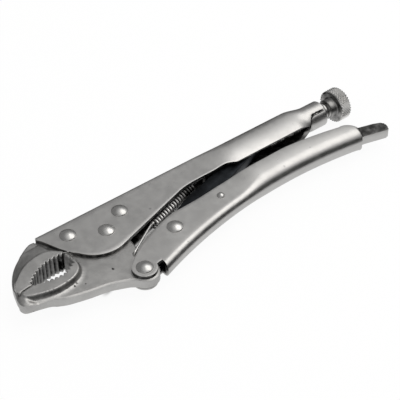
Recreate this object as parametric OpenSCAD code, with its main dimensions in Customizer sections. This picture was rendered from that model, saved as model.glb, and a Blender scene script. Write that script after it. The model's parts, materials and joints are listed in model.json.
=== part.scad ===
// Locking pliers with curved jaws, lying on their side.
// +X runs from the jaws to the adjusting knob, +Y points to the fixed handle's back, +Z is up.
// The modules are drawn around the moving jaw's pivot, with z = 0 in the tool's middle plane.
// in_place() then puts the origin under the middle of the whole tool, at its lowest point.

/* [Jaws] */
// Thickness of the jaw plates and of the toggle link
jaw_t = 6; // [4:0.1:7]
// Width of the jaws across the teeth
tooth_w = 13.2; // [11:0.1:16]
// Distance from the jaw pivot to the tip of the nose
jaw_reach = 66.9; // [60:0.1:76]
// Radius of the hollow in the fixed jaw's teeth
mouth_r = 20; // [17.5:0.1:30]
// Distance between neighbouring teeth
tooth_pitch = 2; // [1.6:0.1:3]
// Depth of the grooves between the teeth
tooth_depth = 0.8; // [0.3:0.1:1]
// Gap between the closed jaws at the nose
bite_gap = 0.1; // [0.05:0.01:0.5]
// Radius of the moving jaw's hub, round its pivot
hub_r = 9.5; // [8:0.1:10.5]
// Radius of the moving jaw's heel, round the lever pivot
heel_r = 8.1; // [6.5:0.1:9]

/* [Pivots] */
// How far the lever pivot lies below the jaw pivot
lever_pivot_drop = 36.1; // [33:0.1:40]
// Distance along the tool from the lever pivot to the link rivet
link_rivet_dx = 32; // [30:0.1:35]
// Height of the link rivet above the lever pivot
link_rivet_dy = 14.9; // [13.5:0.1:16]
// Distance along the tool from the jaw pivot to the link's nose
link_nose_x = 113; // [108:0.1:118]
// Distance along the tool from the lever pivot to the release lever's rivet
release_dx = 67.9; // [62:0.1:74]
// Height of the release lever's rivet above the lever pivot
release_dy = 19.2; // [17.5:0.1:20]

/* [Handles] */
// Thickness of both handles' sheet metal
sheet_t = 2; // [1.5:0.1:2.4]
// Gap between the handles' sides and the plates inside, on each side
side_gap = 0.1; // [0.05:0.01:0.5]
// Width of both grips
grip_w = 15.6; // [14:0.1:18]
// Height of the fixed handle's back above the jaw pivot
back_y = 20.2; // [19:0.1:23]
// Depth of the fixed grip, from its back to its open edge
grip_depth = 20.5; // [18:0.1:23]
// Radius of the fixed handle's belly round the jaw pivot
belly_r = 19.5; // [18:0.1:21]
// Distance from the jaw pivot to the fixed handle's rear mouth
handle_reach = 166; // [158:0.1:176]
// Length of the round tube at the fixed handle's rear
tube_len = 9.5; // [7:0.1:14]
// Outer radius of the round tube
tube_r = 8; // [7.2:0.1:8.6]
// Width of the seam where the tube's edges meet
seam_w = 0.5; // [0.3:0.1:1]
// Distance from the jaw pivot to the lever handle's rear end
lever_reach = 167; // [158:0.1:172]
// Radius of the bow in the lever handle's back
bow_r = 310; // [280:1:360]
// How far the top of the lever's bow lies below the jaw pivot
bow_drop = 25; // [24:0.1:27]
// Radius of the lever handle's eyes, round the lever pivot
eye_r = 7; // [6:0.1:7.8]

/* [Rivets] */
// Diameter of the large rivets
rivet_d = 6; // [4.5:0.1:6.6]
// Diameter of the large rivets' heads
rivet_head_d = 9.4; // [8:0.1:10.5]
// Height of the large rivets' heads
rivet_head_h = 2; // [1.4:0.1:2.6]
// Diameter of the release lever's rivet
small_rivet_d = 3; // [2.2:0.1:3.6]
// Diameter of the release lever's rivet heads
small_head_d = 4.7; // [4.2:0.1:6]
// Height of the release lever's rivet heads
small_head_h = 1.5; // [0.8:0.1:2]
// Play between each rivet and its holes, on the radius
rivet_play = 0.05; // [0.02:0.01:0.1]

/* [Adjusting screw] */
// Diameter of the adjusting screw's thread
screw_d = 10.4; // [9:0.1:10.6]
// Pitch of the adjusting screw's thread
screw_pitch = 1.5; // [1:0.25:2]
// Distance between the closed link's nose and the screw's tip
nose_gap = 2.2; // [2.1:0.1:4]
// Diameter of the smooth collar in front of the knob
collar_d = 12; // [11:0.1:14]
// Length of the smooth collar in front of the knob
collar_len = 4.8; // [4:0.1:9]
// Length of thread that shows between tube and collar
thread_show = 5.8; // [2:0.1:8]
// Diameter of the knurled knob
knob_d = 20.8; // [18:0.1:23]
// Length of the knurled knob
knob_len = 7.8; // [6:0.1:12]

/* [Spring] */
// Thickness of the spring's wire
wire_d = 1.15; // [0.8:0.05:1.3]
// Outer diameter of the spring's coil
coil_d = 6; // [5:0.1:6.1]
// Distance between neighbouring turns of the spring
coil_pitch = 2.1; // [1.6:0.1:2.6]
// Diameter of the hole that the spring hooks into
hook_hole_d = 3.2; // [2.6:0.1:3.6]

/* [Release lever] */
// Sheet thickness of the release lever
release_t = 1.4; // [1:0.1:1.8]
// Gap between the release lever's bump and the toggle link
bump_gap = 1.4; // [1.3:0.1:2]
// How far the release lever's tail stands out behind the lever handle
tail_len = 20.5; // [14:0.1:26]

/* [Hidden] */
$fn = 64;
far = 60;

// Half widths across the tool
plate_z = jaw_t / 2;
head_in = plate_z + side_gap;
head_out = head_in + sheet_t;
grip_out = grip_w / 2;
grip_in = grip_out - sheet_t;
tooth_z = tooth_w / 2;

// Pivots and rivets in the tool's middle plane
front_rivet = [-18.7, 9.8];
rear_rivet = [14.8, 8.3];
lever_pivot = [-1.3, -lever_pivot_drop];
link_pivot = lever_pivot + [link_rivet_dx, link_rivet_dy];
release_pivot = lever_pivot + [release_dx, release_dy];
link_eye_r = 7;
link_nose_r = 4.3;
release_eye_r = 4;
seat_r = hub_r + 0.3;

// Adjusting screw along X
screw_y = back_y - 11.2;
screw_tip_x = link_nose_x + link_nose_r + nose_gap;
collar_x = handle_reach + thread_show;
knob_x = collar_x + collar_len;
link_nose = [link_nose_x, screw_y];

// Stations where the handles change their section
flare_x0 = 75;
flare_x1 = 98;
neck_x1 = handle_reach - tube_len;
neck_x0 = neck_x1 - 14;
grip_y = back_y - grip_out;
open_y = back_y - grip_depth;
wall_r = 37;

// Bow of the lever handle's back: an arc round a point far below the grip
bow_c = [113, -bow_drop - bow_r];
function bow_point(x, r) = [x, bow_c[1] + sqrt(r * r - pow(x - bow_c[0], 2))];
web_x0 = lever_pivot[0] + 10.8;

// The two jaws meet along the bite line in front of the mouth
nose_x = -jaw_reach;
mouth_front = [nose_x + 11.5, -10.7];
mouth_back = [-30.6, -1.9];
mouth_c = circle_centre(mouth_front, mouth_back, mouth_r);
mouth_floor = [[-30, -10.7], [-37.5, -14.4], [-42, -14.3], mouth_front - [0, 0.9]];
jaw_top = back_y - sheet_t - 0.5;

// Spring from the moving jaw's hook hole to the tab in the fixed handle
spring_hook = [2.3, lever_pivot[1] + 13.1];
spring_tab = [72, back_y - 12.7];
coil_front = [21.4, spring_hook[1] + 12.4];
coil_rear = spring_tab - [10.8, 4];
spring_dir = (coil_rear - coil_front) / norm(coil_rear - coil_front);

// Tail of the release lever, resting on the lever handle's back
tail_end = [lever_reach + tail_len, bow_point(lever_reach, bow_r)[1] - 1.4];

// Lowest and highest points of the whole tool
tool_x = [nose_x, max(tail_end[0], knob_x + knob_len)];
tool_y = [lever_pivot[1] - heel_r, back_y];
tool_z = max(knob_d / 2, head_out + rivet_head_h);

// Centre of the circle of radius r through two points, on the right-hand side from a to b
function circle_centre(a, b, r) =
    let (chord = b - a, half = norm(chord) / 2)
    (a + b) / 2 + sqrt(r * r - half * half) * [chord[1], -chord[0]] / norm(chord);

// Point on a circle
function on_circle(c, r, a) = c + r * [cos(a), sin(a)];

// Points along an arc, from angle a0 to a1
function arc(c, r, a0, a1, n = 12) = [for (i = [0:n]) on_circle(c, r, a0 + (a1 - a0) * i / n)];

// Smooth curve through points, n pieces between each two
function curve(p, n = 3) = concat([for (i = [0:len(p) - 2], k = [0:n - 1]) curve_point(p, i, k / n)],
                                  [p[len(p) - 1]]);
function curve_point(p, i, t) =
    let (a = p[max(i - 1, 0)], b = p[i], c = p[i + 1], d = p[min(i + 2, len(p) - 1)])
    0.5 * (2 * b + (c - a) * t + (2 * a - 5 * b + 4 * c - d) * t * t
           + (3 * b - a - 3 * c + d) * t * t * t);

// Outline in the middle plane, thickened to +-half
module slab(half) {
    translate([0, 0, -half])
        linear_extrude(2 * half) children();
}

// Round hole across the tool
module hole(at, r) {
    translate([at[0], at[1], -far / 2])
        cylinder(r = r, h = far);
}

// Moves the finished tool onto its origin
module in_place() {
    translate([-(tool_x[0] + tool_x[1]) / 2, -(tool_y[0] + tool_y[1]) / 2, tool_z])
        children();
}

// ---- Handles: one bent sheet each, lofted through sections across the tool ----

// Sheet metal through a list of rings; each ring goes over the outer skin and back under it
module loft(rings) {
    n = len(rings[0]);
    count = len(rings);
    walls = [for (i = [0:count - 2], k = [0:n - 1])
        let (a = i * n + k, b = i * n + (k + 1) % n)
        each [[a, a + n, b + n], [a, b + n, b]]];
    strip = [for (k = [0:n / 2 - 2]) each [[k, k + 1, n - 1 - k], [k + 1, n - 2 - k, n - 1 - k]]];
    last = (count - 1) * n;
    polyhedron([for (ring = rings) each ring],
               concat(strip, walls, [for (t = strip) [last + t[2], last + t[1], last + t[0]]]),
               convexity = 10);
}

function mix(a, b, t) = a + (b - a) * t;
function ease(t) = t * t * (3 - 2 * t);
function reversed(p) = [for (i = [len(p) - 1 : -1 : 0]) p[i]];

// Both halves of a section from the half at +z, whose last point is in the middle plane
function both(half) = concat(half, [for (i = [len(half) - 2 : -1 : 0]) [half[i][0], -half[i][1]]]);

// Ring of sheet metal at x, from the [y, z] points of its outer and inner half sections
function sheet_ring(x, outer, inner) = [for (p = concat(both(outer), reversed(both(inner)))) [x, p[0], p[1]]];

// Half a section with a square back: side from low up to the corner of radius r, then to the middle
function square_half(half, low, top, r, n) = concat(
    [for (i = [0:n - 1]) [mix(low, top - r, i / n), half]],
    [for (i = [0:2 * n]) [top - r + r * sin(45 * i / n), half - r + r * cos(45 * i / n)]],
    [[top, 0]]);

// Half a section with a round back of radius half, its side drawing in towards low
function round_half(half, low, n) = concat(
    [for (i = [0:n - 1]) let (y = mix(low, grip_y, i / n))
        [y, sqrt(pow(side_c + half, 2) - pow(grip_y - y, 2)) - side_c]],
    [for (i = [0:2 * n + 1]) let (a = 90 * i / (2 * n + 1)) [grip_y + half * sin(a), half * cos(a)]]);

// Half a ring of radius r round the screw, open by the seam at the bottom
function tube_half(r, n) =
    let (a0 = asin(seam_w / 2 / r) - 90)
    [for (i = [0:3 * n + 1]) let (a = mix(a0, 90, i / (3 * n + 1))) [screw_y + r * sin(a), r * cos(a)]];

// ---- Fixed handle ----

head_bend = 2.5;
side_c = wall_r - grip_out;
side_n = 4;

// Sections of the fixed handle; inset 0 is its outer skin and sheet_t its inner one
function fixed_head(inset) =
    square_half(head_out - inset, -20, back_y - inset, head_bend - inset, side_n);
function fixed_grip(inset) = round_half(grip_out - inset, open_y - 1, side_n);
function fixed_tube(inset, bore) = tube_half(inset > 0 ? bore : tube_r, side_n);

// Section at t between two others
function between(a, b, t) = mix(a, b, ease(t));
function fixed_ring(x, from, to, t) =
    sheet_ring(x, between(from[0], to[0], t), between(from[1], to[1], t));

// Outer and inner skins; the tube's inside starts wide and then leaves metal for the bore
module fixed_sheet() {
    head = [fixed_head(0), fixed_head(sheet_t)];
    grip = [fixed_grip(0), fixed_grip(sheet_t)];
    mouth = [fixed_tube(0), fixed_tube(1, screw_d / 2 + 1.1)];
    tube = [fixed_tube(0), fixed_tube(1, screw_d / 2 - 0.6)];
    loft(reversed(concat(
        [fixed_ring(-40, head, grip, 0)],
        [for (i = [0:6]) fixed_ring(mix(flare_x0, flare_x1, i / 6), head, grip, i / 6)],
        [for (i = [0:4]) fixed_ring(mix(neck_x0, neck_x1, i / 4), grip, mouth, i / 4)],
        [for (x = [neck_x1 + 1, handle_reach]) fixed_ring(x, grip, tube, 1)])));
}

// Side view of the fixed handle: nose notch, round belly, long slope, then the open edge of the grip
belly_c = [-5, 4];
fixed_outline = concat(
    [[-33, back_y + 1], [-33, back_y], [-34.6, back_y - 2], [-33.4, back_y - 3.9], [-32, back_y - 6]],
    [[-30.4, 9.6], [-28, 3.6], [-25.1, -1.8]],
    arc(belly_c, belly_r, 210, 287),
    [[51, 0.8], [57, 2.1], [62, 2.5], [flare_x0 + 9, 2.7], [flare_x0 + 13.5, 1.8], [flare_x0 + 17, open_y]],
    [[handle_reach + 1, open_y], [handle_reach + 1, back_y + 1]]);

// Tab punched out of the back to hold the spring's end
tab_w = 4.4;
tab_hole_r = wire_d / 2 + 1;

module spring_tab_plate() {
    difference() {
        translate([spring_tab[0] - sheet_t / 2, spring_tab[1] - 3, -tab_w / 2])
            cube([sheet_t, back_y - sheet_t / 2 - spring_tab[1] + 3, tab_w]);
        translate([spring_tab[0] - far / 2, spring_tab[1], 0])
            rotate([0, 90, 0])
                cylinder(r = tab_hole_r, h = far);
    }
}

module fixed_handle() {
    color("silver") {
        difference() {
            intersection() {
                fixed_sheet();
                slab(far / 2)
                    polygon(fixed_outline);
            }
            // bore of the tube
            translate([neck_x1, screw_y, 0])
                rotate([0, 90, 0])
                    cylinder(r = screw_d / 2 + rivet_play, h = tube_len + 1);
            // hole that the spring's tab was punched out of
            translate([spring_tab[0] - sheet_t / 2 - 11, back_y - sheet_t - 1, -tab_w / 2])
                cube([11, sheet_t + 2, tab_w]);
            for (at = [front_rivet, [0, 0], rear_rivet])
                hole(at, rivet_d / 2 + rivet_play);
        }
        spring_tab_plate();
    }
}

// ---- Jaws ----

// Line along which the closed jaws meet, moved up or down by off
function bite_line(off) = [mouth_front + [0, off - 0.45], [nose_x + 4.9, -12.1 + off],
                           [nose_x + 0.7, -14.6 + off]];

fixed_profile = curve([[nose_x + 0.7, -14.6 + bite_gap / 2], [nose_x + 1.6, -10.8], [nose_x + 4.9, -2],
                       [nose_x + 11.5, 7.6], [-45.8, 15.7], [-39, 19.1], [-35.2, back_y - 1.6]]);

// Side view of the fixed jaw, with its plate running back between the handle's sides
fixed_plate_outline = concat(
    [[nose_x + 5.4, -11.4], [nose_x + 6, -3.2], [nose_x + 13.2, 5.8], [-44.3, 13.4], [-38.6, 16.2]],
    [[-34.9, jaw_top], [rear_rivet[0] + 3, jaw_top], rear_rivet + [6.7, 5], rear_rivet + [6.7, -4]],
    [[10.5, 1], [0, -1.2], [-30.2, -1.2], mouth_back],
    [bite_line(bite_gap / 2)[0]]);

// Half thickness of both jaws at the outer edge of the nose
nose_edge = 1.2;

// Ground top of the fixed jaw's teeth and the foot of the slope around it
fixed_ridge = [bite_line(0)[1] - [2, 0.5], [nose_x + 3.4, -9], [nose_x + 6.5, -5.2], [nose_x + 10.3, -1.9],
               [-47.7, 2.4], [-40.2, 4.1], [-34.6, 3.1], [-30.9, -0.8], mouth_front - [0, 0.5]];
fixed_foot = concat(fixed_profile, [[-32.6, 14], [-31, 9.4], [-28.6, 3.2], [-30.4, -1.6]],
                    [mouth_front - [0, 0.5]]);

// Row of V grooves between two points
module grooves_between(a, b) {
    count = floor(norm(b - a) / tooth_pitch);
    for (i = [0:count - 1])
        translate(a + (b - a) * (i + 0.5) / count)
            rotate(45)
                square(tooth_depth * sqrt(2), center = true);
}

// Row of V grooves round the mouth
module grooves_around(c, r, a0, a1) {
    count = floor((a1 - a0) * PI / 180 * r / tooth_pitch);
    for (i = [0:count - 1]) {
        a = a0 + (a1 - a0) * (i + 0.5) / count;
        translate(on_circle(c, r, a))
            rotate(a + 45)
                square(tooth_depth * sqrt(2), center = true);
    }
}

function angle_of(p) = atan2(p[1], p[0]);

module fixed_jaw() {
    color("gray")
        difference() {
            union() {
                slab(plate_z)
                    polygon(fixed_plate_outline);
                intersection() {
                    hull() {
                        slab(tooth_z)
                            polygon(fixed_ridge);
                        slab(nose_edge)
                            polygon(fixed_foot);
                    }
                    slab(far / 2)
                        polygon(concat(fixed_foot, bite_line(bite_gap / 2)));
                }
            }
            slab(far / 2) {
                translate(mouth_c)
                    circle(mouth_r, $fn = 128);
                grooves_around(mouth_c, mouth_r, angle_of(mouth_back - mouth_c), angle_of(mouth_front - mouth_c));
            }
            hole([0, 0], seat_r);
            for (at = [front_rivet, rear_rivet])
                hole(at, rivet_d / 2 + rivet_play);
        }
}

moving_nose = curve([[nose_x + 0.7, -14.6 - bite_gap / 2], [nose_x, -17], [nose_x + 0.8, -19.8],
                     [nose_x + 3.4, -21.7], [nose_x + 9, -22]]);
moving_belly = curve([[nose_x + 9, -22], [-52.3, -22.9], [-48.1, -25.8], [-43.3, -27.8], [-32.8, -30.7],
                      [-22.8, -32.7], lever_pivot + [-15.5, 1.1], lever_pivot + [-5.6, -5.2]]);

// Upper edge of the moving jaw: its step beside the hub, the tooth line and the bite
moving_bite = concat([[-29.2, -1.6], [-29.7, -2.6], [-28.6, -4.6], [-28.4, -8.5]], mouth_floor,
                     [for (p = bite_line(-bite_gap / 2)) p]);

moving_plate_outline = concat(
    [[-hub_r * 0.9, -1.6]],
    [for (i = [0:len(moving_bite) - 3]) moving_bite[i]],
    [[nose_x + 6.5, -13.4], [nose_x + 5.5, -15.6], [nose_x + 7.4, -18.6], [nose_x + 10.4, -20.6]],
    [for (i = [3:len(moving_belly) - 1]) moving_belly[i]],
    [lever_pivot, lever_pivot + [heel_r - 0.4, 1.5], spring_hook + [3.1, 1], [hub_r * 0.68, -12.6],
     on_circle([0, 0], hub_r - 0.7, -20), [0, 0]]);

// Ground top of the moving jaw's teeth and the foot of the slope below it
moving_ridge = [[nose_x + 3.6, -12.8], [nose_x + 4.6, -14.6], [nose_x + 10.7, -18.2], [-51.8, -20.1],
                [-46, -21], [-38.1, -20.9], [-31.5, -18.6], [-28.6, -16], [-26.9, -12.6], [-27.2, -8], [-27.6, -1.6]];
moving_foot = concat(moving_nose, [[-50.8, -22.6], [-38.1, -21.8], [-31, -19.4], [-27.8, -16.4],
                                   [-26.2, -12.8], [-26.4, -8], [-26.8, -1.6]]);

module moving_jaw() {
    color("dimgray")
        difference() {
            union() {
                slab(plate_z) {
                    polygon(moving_plate_outline);
                    circle(hub_r);
                    translate(lever_pivot)
                        circle(heel_r);
                }
                intersection() {
                    hull() {
                        slab(tooth_z)
                            polygon(moving_ridge);
                        slab(nose_edge)
                            polygon(moving_foot);
                    }
                    slab(far / 2)
                        polygon(concat([[-26, -1.6]], moving_bite, [[nose_x - 1, -14.7], [nose_x - 1, -40],
                                                                    [-26, -40]]));
                }
            }
            slab(far / 2)
                for (i = [0:len(mouth_floor) - 2])
                    grooves_between(mouth_floor[i], mouth_floor[i + 1]);
            for (at = [[0, 0], lever_pivot])
                hole(at, rivet_d / 2 + rivet_play);
            hole(spring_hook, hook_hole_d / 2);
        }
}

// ---- Lever handle ----

grip_bend = 5.5;

// Sections of the lever handle, its back following the bow
function lever_half(x, half, inset, r) =
    let (back = bow_point(x, bow_r + inset)[1])
    [for (p = square_half(half - inset, -40, 0, r - inset, side_n)) [back - p[0], p[1]]];
function lever_ring(x) =
    let (t = ease(min(max((x - flare_x0) / (flare_x1 - flare_x0), 0), 1)),
         half = mix(head_out, grip_out, t), r = mix(head_bend, grip_bend, t))
    sheet_ring(x, lever_half(x, half, 0, r), lever_half(x, half, sheet_t, r));

module lever_sheet() {
    steps = 32;
    loft([for (i = [0:steps]) lever_ring(mix(-14, lever_reach + 2, i / steps))]);
}

// Side view of the lever handle; its lower edge lies below the bow, which trims it
lever_outline = reversed(concat(
    curve([lever_pivot + [-4.6, 4], lever_pivot + [-2.2, 7.5], lever_pivot + [5, 12.5],
           lever_pivot + [12.7, 16.6], lever_pivot + [24, 20.9], [34.5, -11.9], [56, -11], [flare_x0, -9.2],
           [flare_x0 + 8, -9], [flare_x0 + 19, -10], [120, -9.6], [139, -12], [lever_reach - 9, -15.8]]),
    arc([lever_reach - 8, -23.8], 8, 70, 0, 5),
    [[lever_reach, -26], [lever_reach - 1, -28.4], [lever_reach - 4, -32], [web_x0, -60],
     [web_x0, lever_pivot[1] - 2.5], lever_pivot + [7.6, -1.6], lever_pivot]));

module lever_handle() {
    color("silver")
        difference() {
            intersection() {
                lever_sheet();
                slab(far / 2) {
                    polygon(lever_outline);
                    translate(lever_pivot)
                        circle(eye_r);
                }
            }
            for (at = [lever_pivot, link_pivot])
                hole(at, rivet_d / 2 + rivet_play);
            hole(release_pivot, small_rivet_d / 2 + rivet_play);
        }
}

// ---- Rivets ----

// Rivet across the tool, its domed heads sitting on the handle's sides
module rivet(at, d, head_d, head_h) {
    dome_r = (pow(head_d / 2, 2) + pow(head_h, 2)) / (2 * head_h);
    color("lightgray")
        translate([at[0], at[1], 0]) {
            translate([0, 0, -head_out])
                cylinder(d = d, h = 2 * head_out);
            for (s = [0, 1])
                mirror([0, 0, s])
                    intersection() {
                        translate([0, 0, head_out + head_h - dome_r])
                            sphere(dome_r);
                        translate([0, 0, head_out])
                            cylinder(d = head_d + 1, h = head_h + 1);
                    }
        }
}

module big_rivet(at) {
    rivet(at, rivet_d, rivet_head_d, rivet_head_h);
}

// ---- Toggle link and release lever ----

module toggle_link() {
    along_link = (link_nose - link_pivot) / norm(link_nose - link_pivot);
    up = [-along_link[1], along_link[0]];
    color("darkgray")
        difference() {
            slab(plate_z) {
                translate(link_pivot)
                    circle(link_eye_r);
                translate(link_nose)
                    circle(link_nose_r);
                polygon([link_pivot - 3.3 * up, link_nose - link_nose_r * up, link_nose + link_nose_r * up,
                         link_pivot + 40 * along_link + 7.2 * up, link_pivot + 26 * along_link + 8.6 * up,
                         link_pivot + 12 * along_link + 7.6 * up, link_pivot + 3 * along_link + 6 * up]);
            }
            hole(link_pivot, rivet_d / 2 + rivet_play);
        }
}

// Lower edge of the toggle link, at a place along the tool
function link_lower_y(x) = link_pivot[1] + (x - link_pivot[0]) * link_slope - link_low / cos(atan(link_slope));
link_slope = (link_nose[1] - link_pivot[1]) / (link_nose[0] - link_pivot[0]);
link_low = 3.8;

bump_x = release_pivot[0] + 12;
release_rest = bow_r + sheet_t + 0.25;

// Back of the release lever, lying in the lever handle with a little play
release_back = [for (x = [release_pivot[0] + 4 : 12 : lever_reach]) bow_point(x, release_rest)];

release_outline = reversed(concat(
    [release_pivot + [0.5, release_eye_r - 0.5], [bump_x - 5, link_lower_y(bump_x - 5) - bump_gap - 1.5]],
    [[bump_x - 1.5, link_lower_y(bump_x - 1.5) - bump_gap], [bump_x + 1, link_lower_y(bump_x + 1) - bump_gap - 0.6]],
    [[bump_x + 7, -14], [bump_x + 22, -15.8], [lever_reach - 20, -17.6], [lever_reach + 5, -19.2]],
    [tail_end + [-6, 9.2], tail_end + [-2, 7.4], tail_end + [-0.6, 6.3], tail_end + [0, 4.6],
     tail_end + [-1.2, 0.6], tail_end + [-2.6, -0.8]],
    [[lever_reach + 2, bow_point(lever_reach, release_rest)[1] - 0.2]],
    [for (i = [len(release_back) - 1 : -1 : 0]) release_back[i]],
    [release_pivot + [-0.5, 0.5 - release_eye_r]]));

module release_lever() {
    color("dimgray")
        difference() {
            slab(plate_z) {
                polygon(release_outline);
                translate(release_pivot)
                    circle(release_eye_r);
            }
            // hollow between the folded sides, open upwards, in front of and behind the bump
            slab(plate_z - release_t)
                difference() {
                    polygon([release_pivot + [-9, 9], [tail_end[0] - 3, 0], [tail_end[0] - 3, tail_end[1] + 1.4],
                             [lever_reach, bow_point(lever_reach, release_rest)[1] + release_t],
                             bow_point(140, release_rest + release_t), bow_point(113, release_rest + release_t),
                             bow_point(90, release_rest + release_t), release_pivot + [-9, -release_eye_r]]);
                    translate([bump_x - 4, -30])
                        square([7, 40]);
                }
            hole(release_pivot, small_rivet_d / 2 + rivet_play);
        }
}

// ---- Adjusting screw ----

thread_depth = 0.55 * screw_pitch;
thread_x0 = screw_tip_x + 4;
thread_count = floor((collar_x - thread_x0) / screw_pitch);
knob_play = 0.1;
spigot_r = 3.5;

// Turns a profile drawn as [radius, place along X] about the screw's axis
module turned() {
    translate([0, screw_y, 0])
        rotate([0, 90, 0])
            rotate_extrude()
                children();
}

module adjusting_screw() {
    r = screw_d / 2;
    root = r - thread_depth;
    color("gray")
        turned()
            polygon(concat(
                [[0, screw_tip_x], [root - 0.9, screw_tip_x], [root, screw_tip_x + 0.9]],
                [for (i = [0:thread_count - 1], s = [[root, 0.1], [r, 0.45], [r, 0.55], [root, 0.9]])
                    [s[0], thread_x0 + (i + s[1]) * screw_pitch]],
                [[root, collar_x], [collar_d / 2 - 0.4, collar_x], [collar_d / 2, collar_x + 0.4]],
                [[collar_d / 2, knob_x - knob_play], [spigot_r, knob_x - knob_play]],
                [[spigot_r, knob_x + knob_len - 0.3], [0, knob_x + knob_len - 0.3]]));
}

module screw_knob() {
    edge = 0.9;
    color("darkgray")
        turned()
            polygon([[spigot_r + 0.04, knob_x], [knob_d / 2 - edge, knob_x], [knob_d / 2, knob_x + edge],
                     [knob_d / 2, knob_x + knob_len - edge], [knob_d / 2 - edge, knob_x + knob_len],
                     [spigot_r + 0.04, knob_x + knob_len]]);
}

// ---- Return spring ----

coil_r = (coil_d - wire_d) / 2;
coil_len = norm(coil_rear - coil_front);
coil_turns = floor(coil_len / coil_pitch);
coil_steps = 12;
spring_side = [-spring_dir[1], spring_dir[0]];

// Point of the spring at s along its coil's axis, n beside it and z above it
function spring_point(s, n, z) = concat(coil_front + s * spring_dir + n * spring_side, [z]);

// Point at t of the straight lead from the hook to the coil
function lead_point(t, z) = concat(mix(spring_hook, coil_front, t), [z]);

// Hook over the jaw's face, coil, then the end that passes through the tab
spring_path = concat(
    [for (z = [-1.6, 0.6, plate_z]) lead_point(0, z)],
    [lead_point(0.02, plate_z + 0.7), lead_point(0.06, plate_z + 0.9), lead_point(0.35, plate_z + 0.8),
     lead_point(0.7, plate_z + 0.3), spring_point(-2, 0, coil_r + 0.2)],
    [for (i = [0:coil_turns * coil_steps])
        spring_point(coil_len * i / (coil_turns * coil_steps),
                     coil_r * sin(360 * i / coil_steps), coil_r * cos(360 * i / coil_steps))],
    [spring_point(coil_len + 1.2, 0.6, 1.6), spring_point(coil_len + 4, 0, 0.2)],
    [for (d = [[-2.4, -0.4], [1.6, 0], [2.8, 0.7], [3.2, 2], [2.8, 4]])
        [spring_tab[0] + d[0], spring_tab[1] + d[1], 0]]);

function unit(v) = v / norm(v);
function tangent(p, i) = unit(p[min(i + 1, len(p) - 1)] - p[max(i - 1, 0)]);

// Side direction of each ring, carried along the path so that the wire doesn't twist
function carried(u, t) = unit(u - (u * t) * t);

// Wire of radius r along a path, as one closed surface with n sides
module wire(path, r, n) {
    count = len(path);
    t = [for (i = [0:count - 1]) tangent(path, i)];
    side = [for (i = 0, u = carried([1, 0.3, 0], t[0]); i < count;
                 i = i + 1, u = carried(u, t[min(i, count - 1)])) u];
    points = [for (i = [0:count - 1], k = [0:n - 1])
        path[i] + r * (cos(360 * k / n) * side[i] + sin(360 * k / n) * cross(t[i], side[i]))];
    walls = [for (i = [0:count - 2], k = [0:n - 1])
        let (a = i * n + k, b = i * n + (k + 1) % n)
        [a, a + n, b + n, b]];
    polyhedron(points, concat([[for (k = [0:n - 1]) k]], walls,
                              [[for (k = [n - 1 : -1 : 0]) (count - 1) * n + k]]), convexity = 10);
}

module return_spring() {
    color("lightsteelblue")
        wire(spring_path, wire_d / 2, 6);
}

in_place() fixed_handle();
in_place() fixed_jaw();
in_place() big_rivet(front_rivet);  // jaw_rivet_front
in_place() big_rivet(rear_rivet);  // jaw_rivet_rear
in_place() big_rivet([0, 0]);  // jaw_pivot_rivet
in_place() return_spring();
in_place() moving_jaw();
in_place() lever_handle();
in_place() big_rivet(lever_pivot);  // handle_pivot_rivet
in_place() big_rivet(link_pivot);  // link_rivet
in_place() rivet(release_pivot, small_rivet_d, small_head_d, small_head_h);  // release_rivet
in_place() toggle_link();
in_place() release_lever();
in_place() adjusting_screw();
in_place() screw_knob();
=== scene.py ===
# %% [markdown]
# # Locking pliers in plated steel
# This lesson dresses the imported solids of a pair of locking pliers: two handles bent
# from sheet, two forged jaws with teeth, domed rivets, a coil spring, and an adjusting
# screw with a knurled knob. The solids give every place and size, so the first cell
# loads them and keeps the box that they fill.

# %% Load the solids
import json
import math

import bmesh
import bpy
import numpy as np
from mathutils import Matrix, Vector
from mathutils.geometry import delaunay_2d_cdt


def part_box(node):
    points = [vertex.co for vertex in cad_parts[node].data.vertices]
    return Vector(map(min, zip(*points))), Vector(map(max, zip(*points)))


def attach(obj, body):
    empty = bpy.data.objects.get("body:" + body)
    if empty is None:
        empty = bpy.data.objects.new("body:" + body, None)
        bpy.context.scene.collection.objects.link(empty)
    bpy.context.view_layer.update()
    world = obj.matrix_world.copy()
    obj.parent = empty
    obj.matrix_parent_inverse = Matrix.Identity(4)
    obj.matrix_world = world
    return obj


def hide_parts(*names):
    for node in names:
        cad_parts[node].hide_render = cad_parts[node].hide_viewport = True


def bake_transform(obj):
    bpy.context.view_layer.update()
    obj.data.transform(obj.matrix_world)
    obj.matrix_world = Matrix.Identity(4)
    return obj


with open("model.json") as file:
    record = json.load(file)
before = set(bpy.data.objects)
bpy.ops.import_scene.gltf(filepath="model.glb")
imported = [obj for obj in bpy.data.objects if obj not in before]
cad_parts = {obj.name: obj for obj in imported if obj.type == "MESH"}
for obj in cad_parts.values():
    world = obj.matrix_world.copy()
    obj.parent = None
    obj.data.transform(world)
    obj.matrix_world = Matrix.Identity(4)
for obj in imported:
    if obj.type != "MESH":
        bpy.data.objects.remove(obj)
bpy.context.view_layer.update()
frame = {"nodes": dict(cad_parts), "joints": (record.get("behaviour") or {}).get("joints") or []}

# %% [markdown]
# ## Measures
# A toolmaker draws pliers round the jaw pivot, in millimetres, so this lesson does too.
# `place` turns such a point into metres in the frame, and `measure` goes the other way.
# The pivots come from the joints, and most sizes from the boxes of the solids.

# %% Measures round the jaw pivot
MM = 0.001
joint_at = {j["name"]: Vector(j["pos_m"]) for j in frame["joints"] if j.get("pos_m")}
ORIGIN = joint_at["jaw_open"]


def place(point):
    """A point in millimetres from the jaw pivot, in metres in the frame."""
    return ORIGIN + Vector(point) * MM


def measure(point):
    """A point of the frame, in millimetres from the jaw pivot."""
    return (Vector(point) - ORIGIN) / MM


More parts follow.
